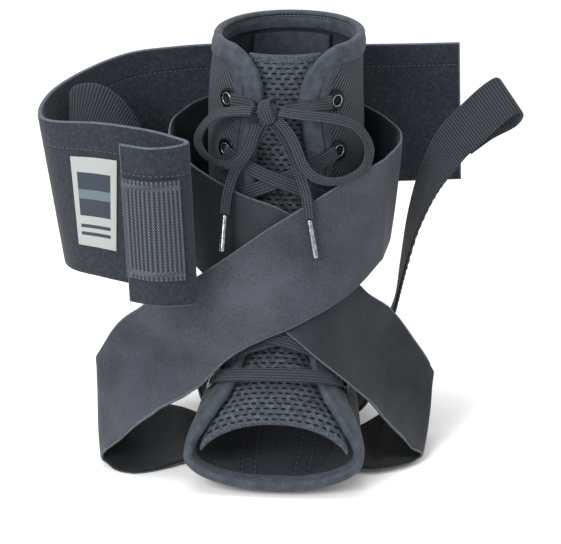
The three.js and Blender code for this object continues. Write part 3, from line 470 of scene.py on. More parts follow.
# Materials: each one is built from nodes over real distances, in millimetres


class Paint:
    def __init__(self, name):
        self.material = bpy.data.materials.new(name)
        self.material.use_nodes = True
        self.tree = self.material.node_tree
        self.shader = self.tree.nodes["Principled BSDF"]
        self.normal = None
        place = self.tree.nodes.new("ShaderNodeUVMap")
        place.uv_map = "UVMap"
        split = self.tree.nodes.new("ShaderNodeSeparateXYZ")
        self.tree.links.new(place.outputs[0], split.inputs[0])
        self.uv = place.outputs[0]
        self.u = split.outputs[0]
        self.v = split.outputs[1]
        spot = self.tree.nodes.new("ShaderNodeTexCoord")
        self.spot = spot.outputs["Object"]

    def set(self, socket, value):
        self.shader.inputs[socket].default_value = value

    def link(self, value, socket):
        if isinstance(value, (int, float)):
            socket.default_value = value
        else:
            self.tree.links.new(value, socket)

    def math(self, operation, a, b=0.0, c=0.0):
        node = self.tree.nodes.new("ShaderNodeMath")
        node.operation = operation
        self.link(a, node.inputs[0])
        self.link(b, node.inputs[1])
        self.link(c, node.inputs[2])
        return node.outputs[0]

    def times(self, a, b):
        return self.math("MULTIPLY", a, b)

    def plus(self, a, b):
        return self.math("ADD", a, b)

    def minus(self, a, b):
        return self.math("SUBTRACT", a, b)

    def scaled(self, a, factor, more):
        """a times the factor, and more on top."""
        return self.math("MULTIPLY_ADD", a, factor, more)

    def size(self, a):
        return self.math("ABSOLUTE", a)

    def wave(self, distance, pitch):
        """Runs from 0 to 1 and back once each pitch."""
        turns = self.scaled(distance, 2 * math.pi / pitch, 0.0)
        return self.scaled(self.math("SINE", turns), 0.5, 0.5)

    def noise(self, size, detail=2.0, vector=None, stretch=None):
        """Noise with grains of about size millimetres."""
        node = self.tree.nodes.new("ShaderNodeTexNoise")
        node.inputs["Scale"].default_value = 1 / (size * MM) if vector is None else 1 / size
        node.inputs["Detail"].default_value = detail
        source = self.spot if vector is None else vector
        if stretch is not None:
            mapping = self.tree.nodes.new("ShaderNodeMapping")
            mapping.inputs["Scale"].default_value = stretch
            self.tree.links.new(source, mapping.inputs[0])
            source = mapping.outputs[0]
        self.tree.links.new(source, node.inputs["Vector"])
        return node.outputs[0]

    def ramp(self, fac, stops):
        node = self.tree.nodes.new("ShaderNodeValToRGB")
        ramp = node.color_ramp
        while len(ramp.elements) < len(stops):
            ramp.elements.new(0.5)
        for element, (position, colour) in zip(ramp.elements, stops):
            element.position = position
            element.color = linear(colour)
        self.link(fac, node.inputs[0])
        return node.outputs[0]

    def mix(self, fac, a, b, kind="MIX"):
        node = self.tree.nodes.new("ShaderNodeMix")
        node.data_type = "RGBA"
        node.blend_type = kind
        self.link(fac, node.inputs["Factor"])
        for value, socket in ((a, node.inputs[6]), (b, node.inputs[7])):
            if isinstance(value, str):
                socket.default_value = linear(value)
            else:
                self.tree.links.new(value, socket)
        return node.outputs[2]

    def colour(self, value):
        self.tree.links.new(value, self.shader.inputs["Base Color"])

    def rough(self, value):
        self.tree.links.new(value, self.shader.inputs["Roughness"])

    def bump(self, height, depth, strength=1.0):
        """Relief of depth millimetres."""
        node = self.tree.nodes.new("ShaderNodeBump")
        node.inputs["Distance"].default_value = depth * MM
        node.inputs["Strength"].default_value = strength
        self.link(height, node.inputs["Height"])
        if self.normal is not None:
            self.tree.links.new(self.normal, node.inputs["Normal"])
        self.normal = node.outputs[0]
        self.tree.links.new(self.normal, self.shader.inputs["Normal"])

    def band(self, value, middle, half, soft):
        """1 within half of the middle, falling to 0 over soft."""
        off = self.size(self.minus(value, middle))
        node = self.tree.nodes.new("ShaderNodeMapRange")
        node.interpolation_type = "SMOOTHSTEP"
        node.inputs["From Min"].default_value = half
        node.inputs["From Max"].default_value = half + soft
        node.inputs["To Min"].default_value = 1.0
        node.inputs["To Max"].default_value = 0.0
        self.link(off, node.inputs["Value"])
        return node.outputs[0]

    def stitches(self, along, across, middle, pitch=2.6, width=0.45):
        """A row of stitches that runs along one line."""
        row = self.band(across, middle, width / 2, 0.15)
        dash = self.math("GREATER_THAN", self.wave(along, pitch), 0.3)
        return self.times(row, dash)


DYE = 0.62


def linear(text):
    """Linear colour of a cloth as it looks in the studio's light."""
    parts = [int(text[i:i + 2], 16) / 255 for i in (0, 2, 4)]
    curve = [p / 12.92 if p <= 0.04045 else ((p + 0.055) / 1.055) ** 2.4 for p in parts]
    return (*(c * DYE for c in curve), 1.0)


def cloth(paint, roughness=0.85, sheen=0.25):
    paint.set("Roughness", roughness)
    paint.set("Sheen Weight", sheen * SHEEN_SCALE)
    paint.set("Sheen Roughness", 0.5)
    paint.set("Specular IOR Level", 0.3)
    return paint.material


def nylon():
    """Ballistic nylon with diagonal ribs that mirror about the back, other way beyond the side seam."""
    p = Paint("nylon_ribs")
    side = p.size(p.u)
    beyond = p.math("LESS_THAN", side, SEAM_AT)
    sign = p.scaled(beyond, -2.0, 1.0)
    lean = p.times(p.v, sign)
    slope = p.scaled(lean, -0.66, p.times(side, 0.75))
    rib = p.wave(slope, 2.1)
    pick = p.wave(p.scaled(side, 0.66, p.times(lean, 0.75)), 1.3)
    weave = p.scaled(pick, 0.22, p.times(rib, 0.78))
    grain = p.noise(9.0, 3.0)
    base = p.ramp(weave, [(0.15, "0a0f15"), (0.5, "2f3540"), (0.9, "69727e")])
    base = p.mix(p.times(grain, 0.3), base, "1c222a")
    seam = p.stitches(p.v, side, SEAM_AT + 1.6)
    fold = p.band(side, SEAM_AT, 0.3, 0.5)
    # Painted shade: the fold at the side seam is darkened as the shade in its crease.
    base = p.mix(fold, base, "14181e")
    base = p.mix(seam, base, "6a737e")
    p.colour(base)
    p.bump(weave, 0.7, 1.0)
    p.bump(p.minus(seam, fold), 0.5, 0.9)
    return cloth(p, 0.7, 0.2)


def tape(name, dark, light, stitch_at=None, lines=0.7):
    """Smooth knit with fine lines and a mottled tone."""
    p = Paint(name)
    line = p.wave(p.u, lines)
    grain = p.noise(5.0, 3.0)
    fine = p.noise(0.5, 2.0)
    shade = p.scaled(fine, 0.4, p.times(grain, 0.6))
    base = p.ramp(shade, [(0.3, dark), (0.7, light)])
    base = p.mix(p.times(line, 0.25), base, dark)
    if stitch_at is not None:
        row = p.stitches(p.u, p.v, stitch_at)
        shaded_groove = p.band(p.v, stitch_at, 0.5, 0.6)
        # Painted shade: the groove along the stitched seam is darkened as the shade in it.
        base = p.mix(p.times(shaded_groove, 0.6), base, "10141a")
        base = p.mix(row, base, "77818c")
        p.bump(p.minus(row, shaded_groove), 0.5, 0.8)
    p.colour(base)
    p.bump(p.scaled(fine, 0.6, line), 0.12, 0.6)
    return cloth(p, 0.72, 0.3)


def inside_cloth():
    """Dark knit lining with stitched rows that run down the sole, the same on both sides."""
    p = Paint("inside_knit")
    fine = p.noise(0.8, 3.0)
    base = p.ramp(fine, [(0.3, "151c24"), (0.7, "353e48")])
    side = p.size(p.u)
    for place in SOLE_STITCHES:
        row = p.stitches(p.v, side, place, 3.2, 0.9)
        shaded_groove = p.band(side, place, 0.9, 0.8)
        # Painted shade: each stitched row's groove is darkened as the shade in it.
        base = p.mix(p.times(shaded_groove, 0.7), base, "070b10")
        base = p.mix(row, base, "454e58")
    p.colour(base)
    p.bump(fine, 0.25, 0.7)
    return cloth(p, 0.85, 0.3)


def mesh_cloth():
    """Spacer mesh: offset rows of dash-shaped holes between raised threads; the holes are painted
    near-black as the shade seen through them.
    """
    p = Paint("spacer_mesh")
    row = p.math("DIVIDE", p.v, HOLE_ROW)
    number = p.math("FLOOR", row)
    odd = p.math("MODULO", p.size(number), 2.0)
    column = p.scaled(odd, 0.5, p.math("DIVIDE", p.u, HOLE_COLUMN))
    dx = p.minus(p.math("FRACT", p.plus(column, 500.0)), 0.5)
    dy = p.minus(p.math("FRACT", p.plus(row, 500.0)), 0.5)
    far_x = p.math("POWER", p.size(p.math("DIVIDE", dx, 0.34)), 2.4)
    far_y = p.math("POWER", p.size(p.math("DIVIDE", dy, 0.21)), 2.0)
    hole = p.band(p.plus(far_x, far_y), 0.0, 0.6, 0.6)
    thread = p.wave(p.plus(p.u, p.times(p.v, 0.4)), 0.8)
    grain = p.noise(2.6, 3.0)
    lift = p.scaled(thread, 0.4, p.times(grain, 0.6))
    base = p.ramp(lift, [(0.25, "161b22"), (0.5, "3c454f"), (0.8, "8a949f")])
    # Painted shade: the holes are solid cloth painted near-black as the shade inside them.
    base = p.mix(hole, base, "020406")
    p.colour(base)
    p.bump(p.scaled(thread, 0.15, p.minus(1.0, hole)), 1.1, 1.0)
    return cloth(p, 0.8, 0.2)


def satin(name, dark, light):
    """Satin strap with a fine speckle and faint lengthwise lines."""
    p = Paint(name)
    speckle = p.noise(0.9, 3.0)
    cloud = p.noise(26.0, 2.0)
    line = p.noise(1.6, 1.0, p.uv, (0.05, 1.0, 1.0))
    shade = p.scaled(speckle, 0.55, p.times(cloud, 0.45))
    base = p.ramp(shade, [(0.38, dark), (0.62, light)])
    base = p.mix(p.times(line, 0.2), base, dark)
    p.colour(base)
    p.bump(p.noise(15.0, 2.0), 1.4, 0.6)
    p.bump(speckle, 0.16, 0.8)
    p.bump(line, 0.1, 0.5)
    return cloth(p, 0.62, 0.35)


def plain_edge(name, dark, light):
    p = Paint(name)
    fine = p.noise(0.7, 3.0)
    p.colour(p.ramp(fine, [(0.35, dark), (0.7, light)]))
    p.bump(fine, 0.2, 0.7)
    return cloth(p, 0.85, 0.3)


def webbing():
    """Webbing with ribs across it."""
    dark = "171b22"
    p = Paint("pull_webbing")
    rib = p.wave(p.u, RIB_PITCH)
    thread = p.wave(p.v, 0.7)
    grain = p.noise(6.0, 3.0)
    weave = p.scaled(thread, 0.25, p.times(rib, 0.75))
    base = p.ramp(weave, [(0.15, dark), (0.9, "515964")])
    base = p.mix(p.times(grain, 0.4), base, dark)
    p.colour(base)
    p.bump(weave, 0.5, 0.9)
    return cloth(p, 0.75, 0.25)


def fuzz():
    """Brushed loop face of the foam cuff, with a stitched seam below the top edge."""
    p = Paint("brushed_loop")
    fine = p.noise(0.8, 4.0)
    pile = p.noise(2.2, 3.0)
    cloud = p.noise(30.0, 2.0)
    shade = p.scaled(fine, 0.5, p.times(pile, 0.5))
    base = p.ramp(shade, [(0.32, "191e25"), (0.52, "2d333d"), (0.72, "48505c")])
    base = p.mix(p.times(cloud, 0.35), base, "2b3039")
    seam = p.stitches(p.u, p.v, CUFF_SEAM, 3.0, 0.5)
    shaded_groove = p.band(p.v, CUFF_SEAM, 0.6, 0.9)
    # Painted shade: the groove along the cuff's seam is darkened as the shade in it.
    base = p.mix(p.times(shaded_groove, 0.45), base, "171b22")
    base = p.mix(p.times(seam, 0.7), base, "5b6470")
    p.colour(base)
    p.bump(shade, 0.5, 0.8)
    p.bump(p.minus(seam, shaded_groove), 0.5, 0.7)
    return cloth(p, 0.95, 0.45)


def knit():
    """Ribbed knit: columns of small chevrons, with stitched bands at its ends and its free side."""
    p = Paint("ribbed_knit")
    column = p.math("DIVIDE", p.u, PATCH_RIB)
    inside = p.size(p.minus(p.math("FRACT", p.plus(column, 100.0)), 0.5))
    chevron = p.wave(p.scaled(inside, 4.6, p.v), 1.7)
    rib = p.minus(1.0, p.times(inside, 2.0))
    weave = p.scaled(chevron, 0.55, p.times(rib, 0.45))
    base = p.ramp(weave, [(0.25, "0a0e13"), (0.55, "3d4651"), (0.9, "98a3ae")])
    base = p.mix(p.times(p.noise(1.2, 3.0), 0.35), base, "1a2028")
    ends = p.band(p.size(p.v), PATCH_STITCH, 1.2, 0.3)
    side = p.band(p.u, PATCH_SIDE, 1.2, 0.3)
    border = p.math("MAXIMUM", ends, side)
    zigzag = p.wave(p.plus(p.u, p.v), 1.3)
    base = p.mix(border, base, p.ramp(zigzag, [(0.3, "12171d"), (0.8, "8b96a1")]))
    p.colour(base)
    p.bump(weave, 0.8, 1.0)
    p.bump(p.times(border, zigzag), 0.5, 0.9)
    return cloth(p, 0.75, 0.3)


def label_cloth():
    """Plain woven label: a slate field with a lighter stripe and two thin lines, no words and no sign."""
    p = Paint("label_weave")
    thread = p.wave(p.u, 0.45)
    cross = p.wave(p.v, 0.45)
    weave = p.times(thread, cross)
    grain = p.noise(5.0, 3.0)
    base = p.ramp(weave, [(0.0, "bcc2bf"), (1.0, "dfe3e0")])
    base = p.mix(p.times(grain, 0.25), base, "b0b7b6")
    inside = p.band(p.u, 0.0, LABEL_HALF, 0.3)
    for middle, half, dye in LABEL_BARS:
        bar = p.times(p.band(p.v, middle, half, 0.2), inside)
        base = p.mix(bar, base, dye)
    p.colour(base)
    p.bump(weave, 0.12, 0.8)
    return cloth(p, 0.7, 0.15)


def lace_cloth():
    """Flat woven lace: close slanting ribs across, and strands along it."""
    dark = "0b0f14"
    p = Paint("lace_weave")
    slope = p.scaled(p.size(p.v), 0.9, p.u)
    cross = p.wave(slope, 1.5)
    strand = p.wave(p.v, LACE_WIDTH / 5)
    weave = p.scaled(strand, 0.45, p.times(cross, 0.55))
    grain = p.noise(4.0, 3.0)
    base = p.ramp(weave, [(0.2, dark), (0.55, "343b45"), (0.9, "626c78")])
    base = p.mix(p.times(grain, 0.25), base, dark)
    p.colour(base)
    p.bump(weave, 0.5, 1.0)
    return cloth(p, 0.75, 0.25)


def metal(name, dark, light, roughness, metallic):
    p = Paint(name)
    smear = p.noise(3.0, 3.0)
    p.colour(p.ramp(smear, [(0.3, dark), (0.7, light)]))
    p.set("Metallic", metallic)
    p.rough(p.scaled(smear, 0.15, roughness))
    p.bump(p.noise(0.6, 2.0), 0.03, 0.5)
    return p.material


SHEEN_SCALE = 0.2

# Places and pitches of the patterns, in millimetres
RIB_PITCH = 1.7
SEAM_AT = 46.0
SOLE_STITCHES = [9.0, 16.0, 36.0]
HOLE_ROW = 2.9
HOLE_COLUMN = 4.6
HEM_WIDTH = 2.4
CUFF_SEAM = -29.0
PATCH_RIB = 2.5
PATCH_STITCH = 24.0
PATCH_BAND = 22.5
PATCH_SIDE = -2.2
LABEL_BARS = [(-4.5, 12.5, "3a4450"), (-4.5, 2.6, "75848f"), (14.0, 0.9, "3a4450"), (18.5, 0.9, "3a4450")]
LABEL_HALF = 11.0

NYLON = nylon()
BINDING = tape("binding_knit", "2c343e", "5a646f", stitch_at=8.0)
PLACKET = tape("placket_knit", "242a33", "525c68", stitch_at=3.2)
LINING = tape("lining_knit", "272e37", "4d5661", lines=1.1)
INSIDE = inside_cloth()
MESH = mesh_cloth()
MESH_HEM = plain_edge("mesh_hem", "252c35", "67717c")
# Both straps are one satin: the lower strap's darker copy is painted shade.
OVER_SATIN = satin("strap_satin_upper", "2f333d", "4d525d")
UNDER_SATIN_SHADED = satin("strap_satin_shaded", "191e25", "2f353f")
# Painted shade: the straps' inner faces are painted near-black as the shade under them.
OVER_BACK_SHADE = satin("strap_back_shade_upper", "0a1117", "18222a")
UNDER_BACK_SHADE = satin("strap_back_shade_lower", "010407", "060c11")
# Painted highlight: a lighter line along the straps' rounded edges.
STRAP_EDGE_HIGHLIGHT = plain_edge("strap_edge_highlight", "4a535e", "77828d")
WEBBING = webbing()
FUZZ = fuzz()
FOAM_EDGE = plain_edge("foam_edge", "47505b", "75818d")
KNIT = knit()
LABEL = label_cloth()
LACE = lace_cloth()
ENAMEL = metal("eyelet_enamel", "0c0e12", "23272e", 0.22, 0.7)
# Bright metal of the aglets; on the eyelets' lip rings the same finish is a painted highlight, the glint
# on the black grommets.
BRIGHT_METAL_AND_GLINT = metal("bright_metal_and_glint", "8f949a", "d9dcdf", 0.18, 1.0)
# Painted shade: near-black for the shade inside the eyelets' bores and along the back lining's edge.
PAINTED_SHADE = plain_edge("painted_shade", "020304", "06080b")

# The boot


SHELL_ROUND = 260


def boot():
    levels = np.concatenate([
        np.linspace(0, 0.9, 16),
        np.linspace(0.98, 9, 92),
        np.linspace(9.06, TOE, 22),
    ])
    share = spread(150, wall=SHELL_WALL, width=SHELL_ROUND)[None, :]
    half = look_up(OPENING, levels)[:, None]
    turn = half + (360 - 2 * half) * share
    level = levels[:, None] + 0 * turn
    normals = surface_normal(level, turn)
    mid = off_surface(level, turn, np.full(level.shape, -SHELL_WALL / 2))
    uv = np.stack([(turn - 180) * MM_PER_TURN, level * MM_PER_LEVEL], -1)
    centres = (mid[1:, 1:] + mid[:-1, 1:] + mid[1:, :-1] + mid[:-1, :-1]) / 4
    keep = heel_share(centres) > HEEL_CLEAR
    obj = slab("boot_cloth", mid, normals, SHELL_WALL, [NYLON, INSIDE], uv=uv, inside=1, keep=keep)
    dress(obj, "nylon", "boot_shell")


HEEL_MIDDLE = surface(HEEL_HOLE_LEVEL, 180)
HEEL_NORMAL = surface_normal(HEEL_HOLE_LEVEL, 180)
HEEL_UP = unit(np.cross(np.array((1.0, 0.0, 0.0)), HEEL_NORMAL))
HEEL_DEPTH = 17
HEEL_CLEAR = 1.04


def heel_share(points):
    """1 on the oval heel hole's edge, less inside it."""
    off = points - HEEL_MIDDLE
    share = (off[..., 0] * 2 / HEEL_HOLE_WIDTH) ** 2 + (off @ HEEL_UP * 2 / HEEL_HOLE_HEIGHT) ** 2
    return np.where(np.abs(off @ HEEL_NORMAL) < HEEL_DEPTH, np.sqrt(share), 9.0)


def heel_spots(count, scale):
    """Levels and turns of an oval round the heel hole, found outward from its middle."""
    angle = np.linspace(0, 2 * math.pi, count, endpoint=False)
    by_level = -np.sin(angle) * HEEL_HOLE_HEIGHT / 2 / MM_PER_LEVEL
    by_turn = np.cos(angle) * HEEL_HOLE_WIDTH / 2 / MM_PER_TURN
    near, far = np.zeros(count), np.full(count, 1.8)
    for _ in range(30):
        half = (near + far) / 2
        inside = heel_share(surface(HEEL_HOLE_LEVEL + by_level * half, 180 + by_turn * half)) < scale
        near = np.where(inside, half, near)
        far = np.where(inside, far, half)
    return HEEL_HOLE_LEVEL + by_level * near, 180 + by_turn * near


def edge_rings(level, turn, inward, profile):
    """Points of a profile of (reach from the edge, out from the surface) at every spot of an edge."""
    down, around = tangents(level, turn)
    dd = (down * down).sum(-1)
    rr = (around * around).sum(-1)
    dr = (down * around).sum(-1)
    det = dd * rr - dr * dr
    by_down = (inward * down).sum(-1)
    by_around = (inward * around).sum(-1)
    step_level = ((by_down * rr - by_around * dr) / det)[:, None]
    step_turn = ((by_around * dd - by_down * dr) / det)[:, None]
    reach, out = profile[:, 0][None, :], profile[:, 1][None, :]
    levels = level[:, None] + step_level * reach
    turns = turn[:, None] + step_turn * reach
    return off_surface(levels, turns, out + 0 * levels)


def loop_object(name, rings, materials, profile):
    """Closed tube through rings that follow a closed loop."""
    rings = np.concatenate([rings, rings[:1]])
    rows, sides = rings.shape[:2]
    along = np.linalg.norm(np.diff(rings[:, 0], axis=0), axis=-1)
    u = np.concatenate([[0], np.cumsum(along)])
    step = np.linalg.norm(np.diff(np.concatenate([profile, profile[:1]]), axis=0), axis=-1)
    v = np.concatenate([[0], np.cumsum(step)[:-1]])
    v = v - v[len(v) // 4]
    rings_closed = np.concatenate([rings, rings[:, :1]], axis=1)
    v_closed = np.concatenate([v, [v[-1] + step[-1]]])
    uvs = np.stack(np.broadcast_arrays(u[:, None], v_closed[None, :]), -1).reshape(-1, 2)
    quads = grid_quads(rows, sides + 1)
    obj = make_object(name, rings_closed.reshape(-1, 3), quads.tolist(), uvs, materials)
    weld(obj)
    return turned_out(obj)


def weld(obj):
    made = bmesh.new()
    made.from_mesh(obj.data)
    bmesh.ops.remove_doubles(made, verts=made.verts, dist=0.01 * MM)
    made.to_mesh(obj.data)
    made.free()


def binding_profile(width, wall, puff, gap):
    """Padded tape folded over an edge: outside face, over the edge, inside face, and back underneath."""
    outside = []
    for share in np.linspace(1, 0, 9):
        bulge = math.sin(math.pi * min(1.0, (1 - share) * 1.25 + 0.06)) ** 0.6
        outside.append((width * share, gap + wall * 0.5 + puff * bulge * (0.35 + 0.65 * (1 - share))))
    top = outside[-1][1]
    over = []
    middle = -SHELL_WALL / 2
    for angle in np.linspace(0.15, math.pi - 0.15, 7):
        over.append((-math.sin(angle) * (gap + wall + 0.2), middle + math.cos(angle) * (top - middle)))
    inside = [(reach, -SHELL_WALL - out) for reach, out in reversed(outside)]
    back = [(width - 0.3, -SHELL_WALL - gap * 0.5), (width * 0.5, -SHELL_WALL - gap * 0.5),
            (0.1, -SHELL_WALL - gap * 0.5), (-gap * 0.6, middle), (0.1, gap * 0.5),
            (width * 0.5, gap * 0.5), (width - 0.3, gap * 0.5)]
    return np.array(outside + over + inside + back)


def binding():
    """Tape over the whole free edge: rim, lapels, slot, toe opening and sole."""
    rim_half = float(look_up(OPENING, 0))
    rim = [(0.0, t) for t in np.linspace(rim_half, 360 - rim_half, 130)]
    side_levels = np.concatenate([np.linspace(0, 1, 34)[1:], np.linspace(1, 9, 110)[1:],
                                  np.linspace(9, TOE, 44)[1:]])
    right = [(lv, 360 - float(look_up(OPENING, lv))) for lv in side_levels]
    toe_half = float(look_up(OPENING, TOE))
    lip = [(float(TOE), t) for t in np.linspace(360 - toe_half, toe_half, 110)[1:]]
    left = [(lv, float(look_up(OPENING, lv))) for lv in side_levels[:-1][::-1]]
    edge = np.array(rim + right + lip + left)
    level, turn = edge[:, 0], edge[:, 1]
    points = surface(level, turn)
    before, after = np.roll(points, 1, axis=0), np.roll(points, -1, axis=0)
    along = unit(after - before)
    for _ in range(2):
        along = unit(along + np.roll(along, 1, axis=0) + np.roll(along, -1, axis=0))
    inward = unit(np.cross(surface_normal(level, turn), along))
    profile = binding_profile(BINDING_WIDTH, BINDING_WALL, 0.9, 0.5)
    obj = loop_object("padded_binding", edge_rings(level, turn, inward, profile), [BINDING], profile)
    dress(obj, "binding", "edge_binding")

    level, turn = heel_spots(96, 1.0)
    points = surface(level, turn)
    along = unit(np.roll(points, -1, axis=0) - np.roll(points, 1, axis=0))
    inward = unit(np.cross(along, surface_normal(level, turn)))
    inward = inward * np.sign(((points - HEEL_MIDDLE) * inward).sum(-1, keepdims=True))
    profile = binding_profile(4.5, 0.6, 0.3, 0.2)
    ring = loop_object("heel_binding", edge_rings(level, turn, inward, profile), [BINDING], profile)
    dress(ring, "binding")


PLACKET_GAP = 0.5
PLACKET_SEAT = 0.45
PLACKET_WALL = 0.6
PLACKET_WIDTHS = ([0, 0.9, 1.3, 8.2, 9.2], [7.5, 6.5, 5.0, 5.0, 4.0])
PLACKET_PUFFS = ([0, 0.9, 1.4, 9.2], [1.5, 1.2, 0.5, 0.4])


def placket(name, sign):
    """Second padded fold beside the binding, and the smooth strip that it runs on into."""
    levels = np.linspace(0.16, 9.2, 170)
    half = look_up(OPENING, levels)
    across = np.linspace(0, 1, 17)
    width = np.interp(levels, *PLACKET_WIDTHS)
    start = BINDING_WIDTH + PLACKET_GAP
    _, around = tangents(levels, sign * half)
    per_turn = np.linalg.norm(around, axis=-1)
    turn = sign * (half[:, None] + (start + width[:, None] * across[None, :]) / per_turn[:, None])
    level = levels[:, None] + 0 * turn
    puff = np.interp(levels, *PLACKET_PUFFS)
    out = PLACKET_SEAT + puff[:, None] * np.sin(math.pi * np.clip(across, 0.03, 0.97)) ** 0.7
    mid = off_surface(level, turn, out)
    normals = surface_normal(level, turn)
    obj = slab(name, mid, normals, PLACKET_WALL, [PLACKET])
    dress(obj, "binding")


def tongue():
    levels = TONGUE_TOP + (TONGUE_TOE - TONGUE_TOP) * spread(120, wall=TONGUE_WALL, width=260)
    half = look_up(TONGUE_SPREAD, levels)[:, None]
    share = spread(44, wall=TONGUE_WALL, width=75)[None, :]
    turn = half - 2 * half * share
    level = levels[:, None] + 0 * turn
    out = np.full(level.shape, -TONGUE_SEAT - TONGUE_WALL / 2)
    mid = off_surface(level, turn, out)
    uv = arc_uv(mid)
    turned = np.stack([uv[..., 1], uv[..., 0]], -1)
    normals = surface_normal(level, turn)
    paints = [MESH, MESH_HEM]
    obj = slab("tongue_mesh", mid, normals, TONGUE_WALL, paints, rim=HEM_WIDTH, uv=turned)
    dress(obj, "mesh", "tongue")


def lining():
    rise = float(surface(0, 180)[2] - surface(1, 180)[2])
    top = (BINDING_WIDTH + 2 * CLOTH_GAP) / rise
    levels = np.linspace(top, top + LINING_HEIGHT / rise, 60)
    turns = np.linspace(180 - LINING_HALF, 180 + LINING_HALF, 60)
    level, turn = np.meshgrid(levels, turns, indexing="ij")
    seat = SHELL_WALL + CLOTH_GAP + LINING_WALL / 2
    mid = off_surface(level, turn, np.full(level.shape, -seat))
    # Painted shade: faces within 1 mm of the lining's edge are near-black, as the shade along its edge.
    obj = slab("back_panel", mid, surface_normal(level, turn), LINING_WALL, [LINING, PAINTED_SHADE], rim=1.0)
    dress(obj, "lining", "back_lining")


# Straps, pulls and cuff


# Soft averages of the strap's outward directions, so that a raised strap bends without a crease
NORMAL_PASSES = 60


def strap_grid(stations, reach, seats, count):
    at = np.linspace(0, len(stations) - 1, count)
    base = np.interp(at, np.arange(len(stations)), [seats[row[0]] for row in stations])
    edges = []
    for edge in (1, 2):
        values = np.array([row[edge] for row in stations], float)
        level, turn, out = (spline(values[:, k], at) for k in range(3))
        edges.append((level, turn, base + reach * np.maximum(0, out)))
    share = spread(40, wall=STRAP_WALL, width=50)[None, :]
    level, turn, out = (a[:, None] * (1 - share) + b[:, None] * share for a, b in zip(*edges))
    normals = surface_normal(level, turn)
    for _ in range(NORMAL_PASSES):
        framed = np.pad(normals, ((1, 1), (1, 1), (0, 0)), "edge")
        around = framed[2:, 1:-1] + framed[:-2, 1:-1] + framed[1:-1, 2:] + framed[1:-1, :-2]
        normals = unit(around + 2 * normals)
    return surface(level, turn) + normals * out[..., None]


def ribbon(name, inner, wall, outward, materials, floor=0.0, rim=0.0, relief=None, inside=0):
    """Cloth strip over the grid of its inner face."""
    normals = grid_normals(inner)
    if normals[0, 0] @ np.array(outward, float) < 0:
        normals = -normals
    for _ in range(3):
        soft = normals.copy()
        soft[1:-1] = normals[:-2] + 2 * normals[1:-1] + normals[2:]
        normals = unit(soft)
    mid = inner + normals * wall / 2
    reach = np.abs(normals[..., 2]) * wall / 2
    mid[..., 2] += np.maximum(0, floor - (mid[..., 2] - reach))
    return slab(name, mid, normals, wall, materials, rim=rim, relief=relief, inside=inside), mid


def straps():
    over = strap_grid(OVER_STATIONS, OVER_REACH,
                      {"boot": CLOTH_GAP, "lacing": OVER_SEAT, "floor": GAP + STRAP_WALL + GAP}, 300)
    under = strap_grid(UNDER_STATIONS, UNDER_REACH, {"boot": CLOTH_GAP, "lacing": UNDER_SEAT}, 280)
    for name, node, grid, outward, floor, face, back in (
        ("upper_strap", "strap_over", over, (1, 1, 0), 0.0, OVER_SATIN, OVER_BACK_SHADE),
        ("lower_strap", "strap_under", under, (-1, 1, 0), STRAP_WALL + GAP, UNDER_SATIN_SHADED, UNDER_BACK_SHADE),
    ):
        # The lower strap's face satin is a painted-shade copy, the edge carries a painted highlight and
        # the inner face carries painted shade.
        paints = [face, STRAP_EDGE_HIGHLIGHT, back]
        obj, mid = ribbon(name, grid, STRAP_WALL, outward, paints, floor, rim=0.35, inside=2)
        dress(obj, "strap", node)
    return over, under


# The pull starts this far inside the strap's end, where it is sewn on
SEWN_IN = 2


def pull_grid(strap, rows, count):
    cells = strap.shape[1] - 1
    end, before = strap[-1], strap[-8]
    middle = (end[0] + end[cells]) / 2
    earlier = (before[0] + before[cells]) / 2
    start = middle - unit(middle - earlier) * SEWN_IN
    size = np.array((LEG_WIDTH, LEG_DEPTH, BRACE_HEIGHT))
    middles = np.array([start] + [np.array(row[:3]) * size for row in rows])
    widths = np.array([unit(end[cells] - end[0])] + [unit(np.array(row[3])) for row in rows])
    at = np.linspace(0, len(middles) - 1, count)
    centre = np.stack([spline(middles[:, k], at) for k in range(3)], -1)
    side = unit(np.stack([spline(widths[:, k], at) for k in range(3)], -1))
    share = spread(24, wall=PULL_WALL, width=PULL_WIDTH) - 0.5
    return centre[:, None] + side[:, None] * share[None, :, None] * PULL_WIDTH


def pulls(over, under):
    for name, node, strap, rows, outward in (
        ("right_pull", "pull_right", over, PULL_RIGHT_ROWS, (1, 0, 0)),
        ("left_pull", "pull_left", under, PULL_LEFT_ROWS, (-1, 0, 0)),
    ):
        grid = pull_grid(strap, rows, 260)
        along = arc_uv(grid)[..., 0]
        relief = 0.22 * np.cos(along * 2 * math.pi / RIB_PITCH)
        obj, mid = ribbon(name, grid, PULL_WALL, outward, [WEBBING], relief=relief)
        dress(obj, "webbing", node)


_levels = np.linspace(0, 1, 4)
CUFF_BACK = float(surface(_levels, 180)[:, 1].max()) + GAP


def cuff_spot(at, share):
    rows = np.array(CUFF_STATIONS, float)
    high = [spline(rows[:, k], at) for k in range(3)]
    low = [spline(rows[:, k + 3], at) for k in range(3)]
    x, y, up = (a + (b - a) * share for a, b in zip(high, low))
    return np.stack([x * LEG_WIDTH, CUFF_BACK + y * LEG_DEPTH, up * BRACE_HEIGHT], -1)


def cuff_patch(span, rows, cols, out):
    """Points of the cuff's inner face moved out, with their normals."""
    at = span[0] + (span[1] - span[0]) * rows[:, None]
    share = span[2] + (span[3] - span[2]) * cols[None, :]
    at, share = np.broadcast_arrays(at, share)
    d = LEVEL_NUDGE
    along = cuff_spot(at + d, share) - cuff_spot(at - d, share)
    across = cuff_spot(at, share + d) - cuff_spot(at, share - d)
    normals = unit(np.cross(across, along))
    return cuff_spot(at, share) + normals * out, normals


